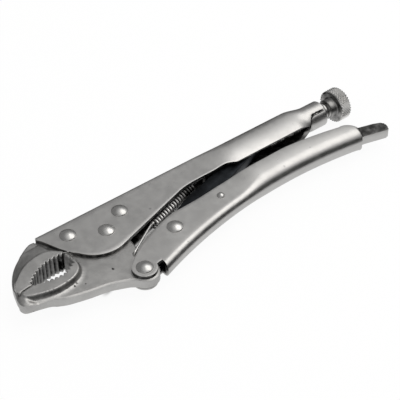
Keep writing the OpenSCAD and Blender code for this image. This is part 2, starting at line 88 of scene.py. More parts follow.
def box_of(node):
    """Lowest and highest corner of a solid, in millimetres from the jaw pivot."""
    low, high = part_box(node)
    return measure(low), measure(high)


lever_pivot = measure(joint_at["lever_open"]).xy
back_y = box_of("fixed_handle")[1].y
handle_reach = box_of("fixed_handle")[1].x
grip_out = box_of("fixed_handle")[1].z
lever_reach = box_of("lever_handle")[1].x
nose_x = box_of("moving_jaw")[0].x
tooth_z = box_of("moving_jaw")[1].z
plate_z = box_of("toggle_link")[1].z
screw_y = (box_of("screw_knob")[0].y + box_of("screw_knob")[1].y) / 2
head_out = 5.1
sheet_t = 2.0
print(f"back {back_y:.1f}, reach {handle_reach:.1f} and {lever_reach:.1f}, nose {nose_x:.1f}")

# %% [markdown]
# ## Node trees from Python
# Materials and Geometry Nodes are both trees of nodes. `Tree.node` makes any node from
# its type, its settings and the values or links of its sockets. `Value` wraps a number
# socket, so that `1 - mask * 0.3` adds the Math nodes by itself.


# %% A number in a node tree
class Value:
    """A number socket: arithmetic on it adds Math nodes to its tree."""

    def __init__(self, tree, socket):
        self.tree, self.socket = tree, socket

    def math(self, operation, a, b=0.0):
        return self.tree.node("ShaderNodeMath", {"operation": operation}, {0: a, 1: b})

    def __add__(self, other):
        return self.math("ADD", self, other)

    def __sub__(self, other):
        return self.math("SUBTRACT", self, other)

    def __rsub__(self, other):
        return self.math("SUBTRACT", other, self)

    def __mul__(self, other):
        return self.math("MULTIPLY", self, other)

    __radd__, __rmul__ = __add__, __mul__

    def other(self, name):
        """Another output of the node that this number comes from."""
        return Value(self.tree, self.socket.node.outputs[name])

    def ramp(self, low, high, to_low=0.0, to_high=1.0):
        """Eases from to_low at low to to_high at high."""
        return self.tree.node("ShaderNodeMapRange", {"interpolation_type": "SMOOTHSTEP"},
                              {0: self, 1: low, 2: high, 3: to_low, 4: to_high})


# %% One method that makes every other node
class Tree:
    """A node tree that is written from Python."""

    def __init__(self, nodes):
        self.tree = nodes

    def node(self, kind, settings=None, sockets=None, out=0):
        made = self.tree.nodes.new(kind)
        for name, value in (settings or {}).items():
            if name == "stops":
                ramp = made.color_ramp.elements
                for element, (at, colour) in zip([ramp[0], ramp[1]], value):
                    element.position, element.color = at, (*colour, 1)
            else:
                setattr(made, name, value)
        for key, value in (sockets or {}).items():
            if isinstance(value, Value):
                self.tree.links.new(value.socket, made.inputs[key])
            else:
                made.inputs[key].default_value = value
        return Value(self, made.outputs[out]) if made.outputs else made


def empty_tree(owner):
    """The tree of a material or a world, with its nodes cleared."""
    owner.use_nodes = True
    owner.node_tree.nodes.clear()
    return Tree(owner.node_tree)


# %% [markdown]
# ## Steel finishes
# All of it is steel, but no two pieces have the same skin. The handles are pressed from
# sheet and plated, so they are even and satin. The jaws are forged, so they are pitted
# and cloudy. Rivet heads, wire, screw and knob are bright. The toggle link is given an
# almost black, bluish tone, which is painted shade. One recipe with a few sizes covers
# them all: a cloud of tone, a fine grain, scattered pits, and long faint scratches. Each
# piece also carries a darkening of its own, which is painted shade in hollows, grooves
# and corners and on faces that lie in shade. Scales are in repeats per metre, since
# Object coordinates are in metres.


# %% Recipe for a steel finish
CLOUDS, STREWN, PATCHES, LINES, GRAIN = 55.0, 95.0, 210.0, 1500.0, 2600.0
SCRATCH_TURN = 0.45


def steel(name, tone, rough, cloud=0.06, grain=0.1, pits=0.0, pit_scale=260.0, scratch=0.3,
          tint=(1.0, 0.99, 0.97), dark=(0.05, 0.055, 0.065), seed=0.0, bump=1.0):
    """Plated or forged steel of a tone, with its grain, pits and scratches."""
    material = bpy.data.materials.new(name)
    tree = empty_tree(material)
    at = tree.node("ShaderNodeTexCoord", out=3)

    def noise(scale, detail=3.0, where=at, roughness=0.55):
        return tree.node("ShaderNodeTexNoise", {"noise_dimensions": "4D"},
                         {"Vector": where, "W": seed, "Scale": scale, "Detail": detail,
                          "Roughness": roughness})

    clouds = noise(CLOUDS, 4.0).ramp(0.3, 0.7)
    patches = noise(PATCHES, 5.0, roughness=0.65).ramp(0.35, 0.68)
    fine = noise(GRAIN, 2.0)
    along = tree.node("ShaderNodeMapping", None,
                      {"Vector": at, "Rotation": (0, 0, SCRATCH_TURN), "Scale": (0.05, 1.0, 1.0)})
    lines = noise(LINES, 2.0, along).ramp(0.62, 0.78)
    cells = tree.node("ShaderNodeTexVoronoi", {"voronoi_dimensions": "4D"},
                      {"Vector": at, "W": seed, "Scale": pit_scale})
    strewn = noise(STREWN, 2.0).ramp(0.42, 0.62)
    pit = cells.ramp(0.17, 0.09) * strewn * pits
    level = tone * (1 + (clouds - 0.5) * cloud * 2 + (patches - 0.5) * cloud
                    + (fine - 0.5) * grain)
    # Painted shade: each piece's stored darkening, made a little patchy, darkens the tone and
    # roughens the surface.
    painted_shade = tree.node("ShaderNodeAttribute", {"attribute_name": "painted_shade"}, out=2)
    patchy_shade = painted_shade * (1 - (patches - 0.5) * 0.5)
    level = (level * (1 - pit * 0.75) + lines * scratch * 0.05) * (1 - patchy_shade * 0.9)
    light = tree.node("ShaderNodeCombineColor", None,
                      {0: level * tint[0], 1: level * tint[1], 2: level * tint[2]})
    colour = tree.node("ShaderNodeMix", {"data_type": "RGBA"},
                       {0: pit * 0.8, 6: light, 7: (*dark, 1)}, out=2)
    roughness = (rough + (patches - 0.5) * 0.1 + (fine - 0.5) * 0.08 + pit * 0.3
                 - lines * 0.08 + painted_shade * 0.15)
    relief = fine * 0.5 + patches * 0.35 * cloud * 8 - pit * 2.5 + lines * scratch * 0.3
    normal = tree.node("ShaderNodeBump", None,
                       {"Strength": 0.22 * bump, "Distance": 0.00012, "Height": relief})
    skin = tree.node("ShaderNodeBsdfPrincipled", None,
                     {"Base Color": colour, "Metallic": 1.0, "Roughness": roughness,
                      "Normal": normal})
    tree.node("ShaderNodeOutputMaterial", None, {"Surface": skin})
    return material


# %% The finishes
plated = steel("plated_sheet", 0.62, 0.36, cloud=0.05, grain=0.12, pits=0.25, pit_scale=170.0,
               seed=1.0)
forged = steel("forged_jaw", 0.55, 0.42, cloud=0.12, grain=0.3, pits=1.0, pit_scale=300.0,
               seed=2.0, bump=1.8)
bright = steel("rivet_heads", 0.66, 0.26, cloud=0.06, grain=0.08, pits=0.15, scratch=0.8,
               seed=4.0)
wire_steel = steel("spring_wire", 0.9, 0.4, cloud=0.05, scratch=0.2, seed=5.0)
# The link's almost black, bluish tone is painted shade: the link lies in the shade between the
# handles.
link_shade_steel = steel("link_plate_shade", 0.032, 0.46, cloud=0.4, grain=1.6, pits=0.9, pit_scale=700.0,
                   tint=(0.88, 0.98, 1.12), seed=6.0, bump=1.6)
screw_steel = steel("screw_thread", 0.5, 0.3, cloud=0.25, pits=0.8, pit_scale=420.0, seed=7.0)
knurled = steel("knurled_knob", 1.0, 0.2, cloud=0.1, grain=0.2, pits=0.4, pit_scale=500.0,
                seed=8.0)
print("finishes:", len(bpy.data.materials))

# %% [markdown]
# ## Making a piece
# Every piece is a mesh whose place is in its points, riding on one of the bodies. Flat
# faces stay crisp and bends stay smooth when edges sharper than an angle are marked.


# %% From points and faces to a piece that rides on a body
def linked(name, data):
    """A new object in the scene for a mesh, a lamp or a camera."""
    thing = bpy.data.objects.new(name, data)
    bpy.context.scene.collection.objects.link(thing)
    return thing


def new_object(name, points, faces, material):
    """Object with a mesh whose points are in millimetres from the jaw pivot."""
    mesh = bpy.data.meshes.new(name)
    mesh.from_pydata([place(p) for p in points], [], faces)
    mesh.materials.append(material)
    return linked(name, mesh)


def sealed(thing):
    """Fills the holes of a mesh and turns its normals outwards."""
    work = bmesh.new()
    work.from_mesh(thing.data)
    bmesh.ops.holes_fill(work, edges=[e for e in work.edges if e.is_boundary], sides=0)
    bmesh.ops.recalc_face_normals(work, faces=work.faces)
    work.to_mesh(thing.data)
    return thing


def stored_shade(thing, amounts):
    """Stores how much painted shade darkens each point of a mesh, from 0 to 1."""
    layer = thing.data.attributes.new("painted_shade", "FLOAT", "POINT")
    layer.data.foreach_set("value", np.clip(amounts, 0, 1).astype(np.float32))
    return thing


def applied(thing):
    """Turns an object's live modifiers into a plain mesh."""
    bpy.context.view_layer.update()
    mesh = bpy.data.meshes.new_from_object(
        thing.evaluated_get(bpy.context.evaluated_depsgraph_get()))
    thing.modifiers.clear()
    thing.data = mesh
    return thing


def bevelled(thing, width, segments=2, angle=45.0):
    """Rounds the edges that are sharper than an angle."""
    edge = thing.modifiers.new("edge", "BEVEL")
    edge.width, edge.segments = width * MM, segments
    edge.limit_method, edge.angle_limit = "ANGLE", math.radians(angle)
    edge.use_clamp_overlap = True
    return applied(thing)


def finished(thing, body, crease=38.0, replaces=()):
    """Shades a piece, and says what it rides on and the solids it stands for."""
    thing.data.shade_smooth()
    thing.data.set_sharp_from_angle(angle=math.radians(crease))
    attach(thing, body)
    if replaces:
        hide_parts(*replaces)
    print(f"{thing.name}: {len(thing.data.polygons)} faces on {body}")
    return thing


# %% [markdown]
# ## Sheet metal
# A pressed handle is one sheet of even thickness, so only its outer skin has to be
# drawn. The skin is a grid: rows run across the tool, from one free edge over the back
# to the other, and columns follow the free edge. `thickened` then moves a copy of the
# skin inwards along its normals and closes the rim, and a bevel rounds the cut edge.


# %% Small helpers for curves
def mix(a, b, t):
    return a + (b - a) * t


def ease(t):
    t = min(max(t, 0.0), 1.0)
    return t * t * (3 - 2 * t)


def passed(x, span):
    """0 before a span of x, 1 beyond it, and eased within it."""
    return ease((x - span[0]) / (span[1] - span[0]))


def smooth_line(points, step):
    """Points along a Catmull-Rom curve, about step apart."""
    p = [np.array(q, float) for q in points]
    made = []
    for i in range(len(p) - 1):
        a, b, c, d = p[max(i - 1, 0)], p[i], p[i + 1], p[min(i + 2, len(p) - 1)]
        count = max(1, round(np.linalg.norm(c - b) / step))
        for k in range(count):
            t = k / count
            made.append(0.5 * (2 * b + (c - a) * t + (2 * a - 5 * b + 4 * c - d) * t ** 2
                               + (3 * b - a - 3 * c + d) * t ** 3))
    return made + [p[-1]]


def arc(centre, radius, start, end, step=1.0):
    """Points along an arc between two angles in degrees, about step apart."""
    count = max(2, round(abs(math.radians(end - start)) * radius / step))
    angles = [math.radians(mix(start, end, i / count)) for i in range(count + 1)]
    return [np.array([centre[0] + radius * math.cos(a), centre[1] + radius * math.sin(a)])
            for a in angles]


def moved(points, x, y=0.0):
    """Points given from a place of their own, as points from the jaw pivot."""
    return [(x + a, y + b) for a, b in points]


def run_along(line):
    """Length of a line from its start to each of its points."""
    return np.concatenate([[0], np.cumsum(np.linalg.norm(np.diff(line, axis=0), axis=1))])


def evenly(line, count):
    """The same line with count points, evenly spaced along it."""
    line = np.array(line)
    run = run_along(line)
    at = np.linspace(0, run[-1], count)
    return np.stack([np.interp(at, run, line[:, k]) for k in range(line.shape[1])], 1)


# %% From an outer skin to a closed sheet
RIM_PART = 0.25
# Painted shade on a sheet: dark on the inner skin and on the near rim below a height, and a little
# dark on the rest of the rim.
INSIDE_SHADE, NEAR_RIM_SHADE, FAINT_RIM_SHADE = 0.9, 0.88, 0.2
RIM_SHADE_BELOW = 17


def thickened(points, faces, wall):
    """Points, faces and painted shade of a closed sheet, from its outer skin and wall per point.

    The inner skin is darkened as painted shade inside the channel. The rim has a second ring
    of points, so that the painted shade can end close to the outer skin. The rim is painted
    dark on the near side, and only a little on the far side and high up on the back."""
    mesh = bpy.data.meshes.new("skin")
    mesh.from_pydata([tuple(p) for p in points], [], faces)
    normals = np.zeros(len(points) * 3, np.float32)
    mesh.vertex_normals.foreach_get("vector", normals)
    bpy.data.meshes.remove(mesh)
    outer = np.array(points, float)
    inner = outer - normals.reshape(-1, 3) * np.asarray(wall, float).reshape(-1, 1)
    n = len(outer)
    sides = {(f[k], f[(k + 1) % len(f)]) for f in faces for k in range(len(f))}
    cut = sorted((a, b) for a, b in sides if (b, a) not in sides)
    half = {v: 2 * n + i for i, v in enumerate(sorted({v for pair in cut for v in pair}))}
    edge = mix(outer, inner, RIM_PART)[list(half)]
    rim = [(b, a, half[a], half[b]) for a, b in cut]
    rim += [(half[b], half[a], a + n, b + n) for a, b in cut]
    back = [tuple(v + n for v in reversed(f)) for f in faces]
    shaded_rim = (edge[:, 1] < RIM_SHADE_BELOW) & (edge[:, 2] > 0)
    shade_paint = np.concatenate([np.zeros(n), np.full(n, INSIDE_SHADE),
                           np.where(shaded_rim, NEAR_RIM_SHADE, FAINT_RIM_SHADE)])
    return np.concatenate([outer, inner, edge]), list(faces) + back + rim, shade_paint


def grid_faces(columns, rows, first=0, keep=lambda i, k: True):
    """Faces of a grid whose points are stored column by column."""
    return [(first + i * rows + k, first + (i + 1) * rows + k,
             first + (i + 1) * rows + k + 1, first + i * rows + k + 1)
            for i in range(columns - 1) for k in range(rows - 1) if keep(i, k)]


# %% [markdown]
# ## Fixed handle
# The fixed handle holds the upper jaw between two flat sides, opens into a rounded grip,
# and closes to a tube round the screw. Its section is a square channel at the front, a
# round one along the grip and almost a full circle at the rear. A point of the skin is
# given by its place along the tool, the height of the free edge there, and how far it
# lies between that edge (0) and the middle of the back (1). `SIDE` and `BEND` are where
# the side and the bend end on that way.

# %% Sections of the fixed handle
SIDE, BEND = 0.5, 0.86
grip_y = back_y - grip_out
side_c = 37 - grip_out
tube_r, tube_wall = 8.0, 2.65
flare = (75.0, 98.0)
neck = (142.5, 156.5)
SEAM, SEAM_GAP = -32.0, 12
UNDERNEATH = (-88.2, 271.8)


def square_section(half, low, top, radius, t, lean=0.0):
    """Height and width of a channel with sides, a bend and a flat back.

    The sides lean inwards towards the bend, by an angle of lean where it starts."""
    crown = math.tan(lean) * (top - radius - low) / 2
    if t < SIDE:
        return mix(low, top - radius, t / SIDE), half - crown * (t / SIDE) ** 2
    turn = mix(lean, math.pi / 2, min((t - SIDE) / (BEND - SIDE), 1))
    y = top - radius + radius * (math.sin(turn) - math.sin(lean)) / (1 - math.sin(lean))
    z = half - crown - radius * (math.cos(lean) - math.cos(turn))
    return y, z if t < BEND else z * (1 - (t - BEND) / (1 - BEND))


def round_section(half, low, t):
    """Height and width of a channel with a round back, its sides drawing in a little."""
    if t < SIDE:
        y = mix(low, grip_y, t / SIDE)
        return y, math.sqrt((side_c + half) ** 2 - (grip_y - y) ** 2) - side_c
    turn = math.radians(90 * (t - SIDE) / (1 - SIDE))
    return grip_y + half * math.sin(turn), half * math.cos(turn)


def fixed_section(x, low, t, side):
    """Height and width of the fixed handle; its seam lies on the near side of the tube."""
    head = square_section(head_out, low, back_y, 2.5, t)
    grip = round_section(grip_out, low, t)
    ragged = 1.2 * math.sin(x * 2.1) + 0.8 * math.sin(x * 4.7)
    lap = ease((x - neck[1] + 6) / 5)
    near, far = SEAM + ragged, SEAM + 360 - SEAM_GAP
    start = mix(UNDERNEATH[0], near, lap) if side > 0 else mix(UNDERNEATH[1], far, lap)
    turn = math.radians(mix(start, 90, t))
    tube = (screw_y + tube_r * math.sin(turn), tube_r * math.cos(turn))
    a, b = passed(x, flare), passed(x, neck)
    y = mix(mix(head[0], grip[0], a), tube[0], b)
    return y, mix(side * mix(head[1], grip[1], a), tube[1], b)


# %% Skin of the fixed handle
slot_x = (60.0, 71.0)
front_edge = smooth_line([(-34.5, 17.5), (-33.6, 16.4), (-32.1, 13.8), (-30.4, 9.6), (-28, 3.6),
                          (-25.1, -1.8)], 1.0)
belly = arc((-5, 4), 19.5, 210, 287)
slope = smooth_line([belly[-1], (12, -11.1), (30, -5.6), (48, -0.1), (53, 1.3), (58, 2.2),
                     (66, 2.55), (76, 2.6), (82, 2.7), (86, 2.5), (89, 1.5), (92, 0.0)], 1.5)
open_edge = [np.array([x, -0.3]) for x in np.arange(93.5, handle_reach, 1.5)]
free_edge = front_edge + belly + slope[1:] + open_edge + [np.array([handle_reach, -0.3])]
for x in slot_x:
    nearest = min(range(len(free_edge)), key=lambda i: abs(free_edge[i][0] - x))
    free_edge[nearest][0] = x

rows = [k / 12 * SIDE for k in range(12)] + [mix(SIDE, BEND, k / 8) for k in range(8)]
rows += [BEND, mix(BEND, 1, 0.4 / 2.6), mix(BEND, 1, 1.5 / 2.6), 1.0]
rows += [2 - t for t in reversed(rows[:-1])]


def skin(edges, middles, section):
    """Grid of points from the free edge's points and each column's x at the back."""
    made = []
    for (edge_x, low), middle in zip(edges, middles):
        for t in rows:
            u = t if t <= 1 else 2 - t
            x = mix(edge_x, middle, u)
            made.append((x, *section(x, low, u, 1 if t <= 1 else -1)))
    return made


middles = [e[0] if e[0] > -15 else mix(-33, -15, (e[0] + 34.5) / 19.5) for e in free_edge]
fixed_skin = skin(free_edge, middles, fixed_section)
count, across = len(free_edge), len(rows)
slot_half = 0.11
slot_rows = [k for k, t in enumerate(rows) if abs(t - 1) < slot_half][:-1]
in_slot = [slot_x[0] - 0.1 < e[0] < slot_x[1] - 0.1 for e in free_edge]
fixed_faces = grid_faces(count, across, keep=lambda i, k: not (in_slot[i] and k in slot_rows))
wall = [mix(sheet_t, tube_wall, ease((p[0] - neck[0]) / 7)) for p in fixed_skin]

fixed_points, fixed_faces, shade_paint = thickened(fixed_skin, fixed_faces, wall)
fixed_sheet = stored_shade(new_object("fixed_handle_sheet", fixed_points, fixed_faces, plated), shade_paint)
bevelled(fixed_sheet, 0.3, angle=50)
finished(fixed_sheet, "fixed_side", replaces=("fixed_handle",))

# %% [markdown]
# ## Lever handle
# The lever is the same kind of sheet, upside down: its back is a long bow underneath and
# its free edges point up. In front the back ends in a notch, and each side runs on to an
# eye round the lever pivot. The eye is a patch between four lines, filled with the rule
# of Coons: the mean of two rulings minus the plane through the corners.

# %% Sections and free edge of the lever handle
bow_centre = (113.0, -335.0)
bow_r = 310.0
front_bend, rear_bend = 4.0, 6.4
front_lean, rear_lean = 1.0, 9.0


def lever_section(x, low, t, side):
    """Height and width of the lever handle, as a channel turned upside down."""
    a = passed(x, flare)
    back = bow_centre[1] + math.sqrt(bow_r ** 2 - (x - bow_centre[0]) ** 2)
    y, z = square_section(mix(head_out, grip_out, a), -low, -back,
                          mix(front_bend, rear_bend, a), t,
                          math.radians(mix(front_lean, rear_lean, a)))
    return -y, side * z


px, py = lever_pivot
prong_top = moved([(-3.0, 6.3), (-0.2, 9.0), (5, 12.5), (12.7, 16.6), (24, 20.9)], px, py)
top_line = smooth_line(prong_top + [(34.5, -11.9), (45, -11.4), (56, -11), (66, -10.0),
                                    (75, -9.3), (83, -9.1), (94, -9.8), (107, -9.8),
                                    (120, -9.7), (130, -10.7), (139, -12), (149, -13.8),
                                    (lever_reach - 8.6, -15.9)], 1.5)
web_x = px + 10.8
top_line += arc((lever_reach - 8, -23.8), 8, 84, 0, 0.8)
cut = next(i for i, p in enumerate(top_line) if p[0] > web_x)
corner = np.array([web_x, np.interp(web_x, [p[0] for p in top_line], [p[1] for p in top_line])])
lever_edge = [corner] + top_line[cut:]
straight_to, back_end = 150, lever_reach - 1.7
lever_middles = [e[0] if e[0] < straight_to else
                 mix(straight_to, back_end, (e[0] - straight_to) / (lever_reach - straight_to))
                 for e in lever_edge]
lever_skin = skin(lever_edge, lever_middles, lever_section)

# %% Eyes of the lever handle, and the whole sheet
prong_rows, prong_columns, eye_r = 12, 26, 7
right = np.array([lever_skin[k][:2] for k in range(prong_rows)])
left = evenly(arc((px, py), eye_r, 130, 235, 0.5), prong_rows)
upper = evenly(arc((px, py), eye_r, 130, 120, 0.5) + top_line[:cut] + [corner], prong_columns)
lower = evenly(arc((px, py), eye_r, 235, 345, 0.5) + [np.array([px + 7.7, py - 1.6]), right[-1]],
               prong_columns)


def coons(s, i, t, k):
    """Point of the patch at s along its upper and lower lines and t down its columns."""
    ruled = mix(upper[i], lower[i], t) + mix(left[k], right[k], s)
    corners = mix(mix(upper[0], upper[-1], s), mix(lower[0], lower[-1], s), t)
    return ruled - corners


lever_faces = grid_faces(len(lever_edge), across)
points = list(lever_skin)
for side in (1, -1):
    first = len(points)
    for i in range(prong_columns - 1):
        for k in range(prong_rows):
            x, y = coons(i / (prong_columns - 1), i, k / (prong_rows - 1), k)
            points.append((x, y, side * head_out))
    seam = [k if side > 0 else across - 1 - k for k in range(prong_rows)]

    def index(i, k):
        return first + i * prong_rows + k if i < prong_columns - 1 else seam[k]

    for i in range(prong_columns - 1):
        for k in range(prong_rows - 1):
            face = (index(i, k), index(i + 1, k), index(i + 1, k + 1), index(i, k + 1))
            lever_faces.append(face if side > 0 else face[::-1])
lever_faces = [f[::-1] for f in lever_faces]
lever_points, lever_faces, shade_paint = thickened(points, lever_faces, [sheet_t] * len(points))
lever_sheet = stored_shade(new_object("lever_handle_sheet", lever_points, lever_faces, plated), shade_paint)
bevelled(lever_sheet, 0.5, segments=3, angle=50)
finished(lever_sheet, "lever", replaces=("lever_handle",))

# %% [markdown]
# ## Forged jaws
# A jaw is a flat plate that swells to a wide nose. From the side it is an outline, and
# across the tool it is a height over that outline, the same on both faces. So the jaw is
# made as a map maker would: fill the outline with small triangles, lift each point to its
# height, mirror that for the other face, and join the two with a wall.


# %% Distances in the side view
def in_line(a, b, radius):
    """Centre of the circle of a radius through two points, on the right from a to b."""
    chord = b - a
    half = np.linalg.norm(chord) / 2
    side = np.array([chord[1], -chord[0]]) / (2 * half)
    return (a + b) / 2 + math.sqrt(radius ** 2 - half ** 2) * side


def distance(points, line, closed=True):
    """Distance of each point from a polyline."""
    line = np.array(line, float)
    ends = np.roll(line, -1, 0) if closed else line[1:]
    nearest = np.full(len(points), 1e9)
    for a, b in zip(line, ends):
        d = b - a
        t = np.clip(((points - a) @ d) / max(d @ d, 1e-12), 0, 1)
        nearest = np.minimum(nearest, np.linalg.norm(points - a - t[:, None] * d, axis=1))
    return nearest


def inside(points, outline):
    """True for each point inside a closed outline."""
    hit = np.zeros(len(points), bool)
    line = np.array(outline, float)
    for (ax, ay), (bx, by) in zip(line, np.roll(line, -1, 0)):
        crosses = (ay > points[:, 1]) != (by > points[:, 1])
        with np.errstate(divide="ignore", invalid="ignore"):
            at = ax + (points[:, 1] - ay) * (bx - ax) / (by - ay)
        hit ^= crosses & (points[:, 0] < at)
    return hit


def outside(points, outline):
    """Distance of each point from a closed outline, and 0 inside it."""
    return distance(points, outline) * ~inside(points, outline)


def rising(values, start, width):
    """0 up to start, rising to 1 over a width."""
    return np.clip((values - start) / width, 0, 1)


def away_from(centre):
    """Function that gives the direction from a centre to a point."""
    return lambda p: (p - centre) / np.linalg.norm(p - centre)


def inset(outline, by):
    """A closed counter-clockwise outline with each point moved inwards by a distance."""
    line = np.array(outline, float)
    before = line - np.roll(line, 1, 0)
    after = np.roll(line, -1, 0) - line
    lean = before / np.linalg.norm(before, axis=1)[:, None]
    lean = lean + after / np.linalg.norm(after, axis=1)[:, None]
    size = np.maximum(np.linalg.norm(lean, axis=1), 1e-6)
    normal = np.stack([-lean[:, 1], lean[:, 0]], 1) / size[:, None]
    return line + normal * np.asarray(by).reshape(-1, 1)


# %% From an outline and a height to a closed plate
CHAMFER = math.tan(math.radians(30))
WALLS = 6
ROW, CLEAR = 0.87, 0.45


def plate(name, outline, height, edge, spacing, shade_paint, ridge, under):
    """Forged plate over a counter-clockwise outline.

    height gives its upper face, under caps how far its lower face may go down, edge is
    the width of its chamfer, and the points of ridge become corners of its triangles.
    The other corners stand in rows of even triangles, clear of the outline and the ridge."""
    outline = np.array(outline, float)
    edge = np.broadcast_to(edge, len(outline))
    top = inset(outline, edge)
    low, high = outline.min(0), outline.max(0)
    xs = np.arange(low[0], high[0], spacing)
    ys = np.arange(low[1], high[1], spacing * ROW)
    gx, gy = np.meshgrid(xs, ys)
    gx[1::2] += spacing / 2
    inner = np.stack([gx.ravel(), gy.ravel()], 1)
    inner = inner[inside(inner, top)]
    inner = inner[distance(inner, top) > spacing * CLEAR]
    inner = inner[distance(inner, ridge, closed=False) > spacing * CLEAR]
    crest = np.array(smooth_line(ridge, spacing * 0.8))
    crest = crest[inside(crest, top)]
    crest = crest[distance(crest, top) > spacing * CLEAR]
    every = [Vector(p) for p in np.concatenate([top, crest, inner])]
    flat, _, triangles, source, _, _ = delaunay_2d_cdt(
        every, [], [list(range(len(top)))], 1, 1e-5)
    flat = np.array(flat)
    lift = height(flat)
    n = len(flat)
    ring_of = {}
    for new, olds in enumerate(source):
        for old in olds:
            ring_of[old] = new
    rim = [ring_of[i] for i in range(len(top))]
    points = [(x, y, z) for (x, y), z in zip(flat, lift)]
    drop = np.minimum(lift, under(flat))
    points += [(x, y, -z) for (x, y), z in zip(flat, drop)]
    faces = [tuple(t) for t in triangles] + [tuple(v + n for v in reversed(t)) for t in triangles]
    m = len(outline)
    levels = []
    for k in range(WALLS + 5):
        part = 0.5 if k in (1, WALLS + 3) else 1.0
        line = inset(outline, edge * (1 - part))
        share = np.clip((k - 2) / WALLS, 0, 1)
        down = edge * part * CHAMFER
        z = mix(lift[rim] - down, down - drop[rim], share)
        if k in (0, WALLS + 4):
            levels.append(rim if k == 0 else [v + n for v in rim])
            continue
        first = len(points)
        points += [(x, y, h) for (x, y), h in zip(line, z)]
        levels.append(list(range(first, first + m)))
    for a, b in zip(levels, levels[1:]):
        faces += [(a[i], b[i], b[(i + 1) % m], a[(i + 1) % m]) for i in range(m)]
    made = new_object(name, points, faces, forged)
    # Painted shade: each point is darkened by the amount that the given function gives it.
    return stored_shade(made, shade_paint(np.array([tuple(p) for p in points])))


# %% [markdown]
# ## Teeth
# Teeth are V grooves milled across a jaw, so they belong to its outline. `toothed_line`
# walks along a line and dips into the jaw once per groove.


# %% Outline with teeth
tooth_pitch, tooth_depth = 2.5, 1.0


def toothed_line(line, into):
    """The line with V grooves cut to the side that into points to, per point of it."""
    line = np.array(line, float)
    run = run_along(line)
    grooves = int(run[-1] // tooth_pitch)
    step = run[-1] / grooves
    made = []
    for i in range(grooves):
        for share, depth in ((0.08, 0.0), (0.3, 0.5), (0.5, 1.0), (0.7, 0.5), (0.92, 0.0)):
            at = (i + share) * step
            p = np.array([np.interp(at, run, line[:, 0]), np.interp(at, run, line[:, 1])])
            made.append(p + into(p) * depth * tooth_depth)
    return [line[0]] + made + [line[-1]]


# %% Outline of the fixed jaw
mouth_front = np.array([nose_x + 11.5, -10.7])
mouth_back = np.array([-30.6, -1.9])
mouth_r = 27.0
mouth_c = in_line(mouth_front, mouth_back, mouth_r)
brow = smooth_line(moved([(0.7, -14.55), (1.6, -10.8), (4.9, -2), (11.7, 7.2)], nose_x)
                   + [(-45.3, 14.9), (-38.8, 18.5), (-35.2, back_y - 1.6)], 0.5)
angles = [math.degrees(math.atan2(*(p - mouth_c)[::-1])) for p in (mouth_back, mouth_front)]
mouth_line = arc(mouth_c, mouth_r, *angles, 0.5)
mouth = toothed_line(arc(mouth_c, mouth_r, *angles, 0.3), away_from(mouth_c))
bite = [(mouth_front[0] - 2, -11.35)] + moved([(7, -11.75), (4.9, -12.05), (2.8, -13.2)], nose_x)
fixed_outline = brow + [(-34.9, back_y - 2.5), (17.8, back_y - 2.5), (21.5, 13.3), (21.5, 4.3)]
fixed_outline += arc((0, 0), 9.8, 5, 187, 0.8) + [(-20, -1.2), (-29.9, -1.2)] + mouth[:-1]
fixed_outline += [mouth_front - [0, 0.4]] + bite
fixed_outline = np.array([np.array(p, float) for p in fixed_outline[::-1]])

# %% [markdown]
# The top of the nose is ground flat over the teeth. Round it the forging falls away: on
# the fixed jaw in one long slope to the outer edge, on the moving jaw in a steep wall
# that ends in a hollow fillet on the plate.

# %% Height of the fixed jaw
nose_front = [(2.9, -12.6), (2.6, -10), (4.4, -6.6), (8.6, -2.6), (13.5, 1.2)]
fixed_ridge = smooth_line(moved(nose_front, nose_x)
                          + [(-47.7, 3.9), (-40.2, 5.2), (-34.6, 4.3), (-31.0, 1.2),
                             (-28.9, -1.3), (-29.6, -3.4)], 0.7)
ground_line = fixed_ridge[:]
brow_z, crest_drop, rear_slope = 3.0, 0.4, 1.1
fixed_ridge += [np.array(p) for p in [(-40, -14), mouth_front - [0, 1.5], (nose_x + 4, -13.4)]]


def soft_max(a, b, softness):
    """The larger of two heights, with a fillet where they meet."""
    reach = np.maximum(softness - np.abs(a - b), 0) / softness
    return np.maximum(a, b) + reach ** 2 * softness / 4


def wavy(points, height, along, slanted, across):
    """Shallow waves like a forging's skin, from their height and turns per millimetre."""
    x, y = points[:, 0], points[:, 1]
    return height * np.sin(x * along + y * slanted) * np.sin(y * across)


def share_to(points, from_ridge, outer):
    """How far each point lies from the ridge (0) to an outer line (1)."""
    return from_ridge / (from_ridge + distance(points, outer, closed=False) + 1e-9)


def fixed_height(points):
    """Height of the fixed jaw: flat over the teeth, and a wavy slope down to the brow."""
    from_ridge = outside(points, fixed_ridge)
    share = share_to(points, from_ridge, brow)
    slope = (tooth_z - crest_drop * np.minimum(from_ridge, 1) ** 2
             - (tooth_z - brow_z) * share ** 1.1)
    behind = (rising(points[:, 0], start=-34.5, width=4.5)
              + rising(points[:, 1], start=14, width=6))
    slope -= rear_slope * np.maximum(from_ridge - 1, 0) * np.clip(behind, 0, 1)
    slope += wavy(points, 0.07, 1.9, 1.3, 2.3) * np.minimum(from_ridge / 3, 1)
    ground = np.where(from_ridge == 0, tooth_z, slope)
    behind_nose = rising(points[:, 0] - nose_x, start=14, width=6)
    return soft_max(ground, np.full(len(points), plate_z) * behind_nose, softness=1.2)


def in_mouth(points, edge, shallow, deep):
    """Painted shade on the walls along a line: the shallow amount on the line, the deep one at the
    grooves' floor.
    """
    depth = distance(points[:, :2], edge, closed=False)
    painted_shade = mix(shallow, deep, np.minimum(depth / tooth_depth, 1))
    return painted_shade * (depth < tooth_depth + 0.15) * (np.abs(points[:, 2]) < tooth_z - 0.1)


MILLED = 0.12
TIP_DOWN, UNDER_SLOPE = 0.7, 0.85


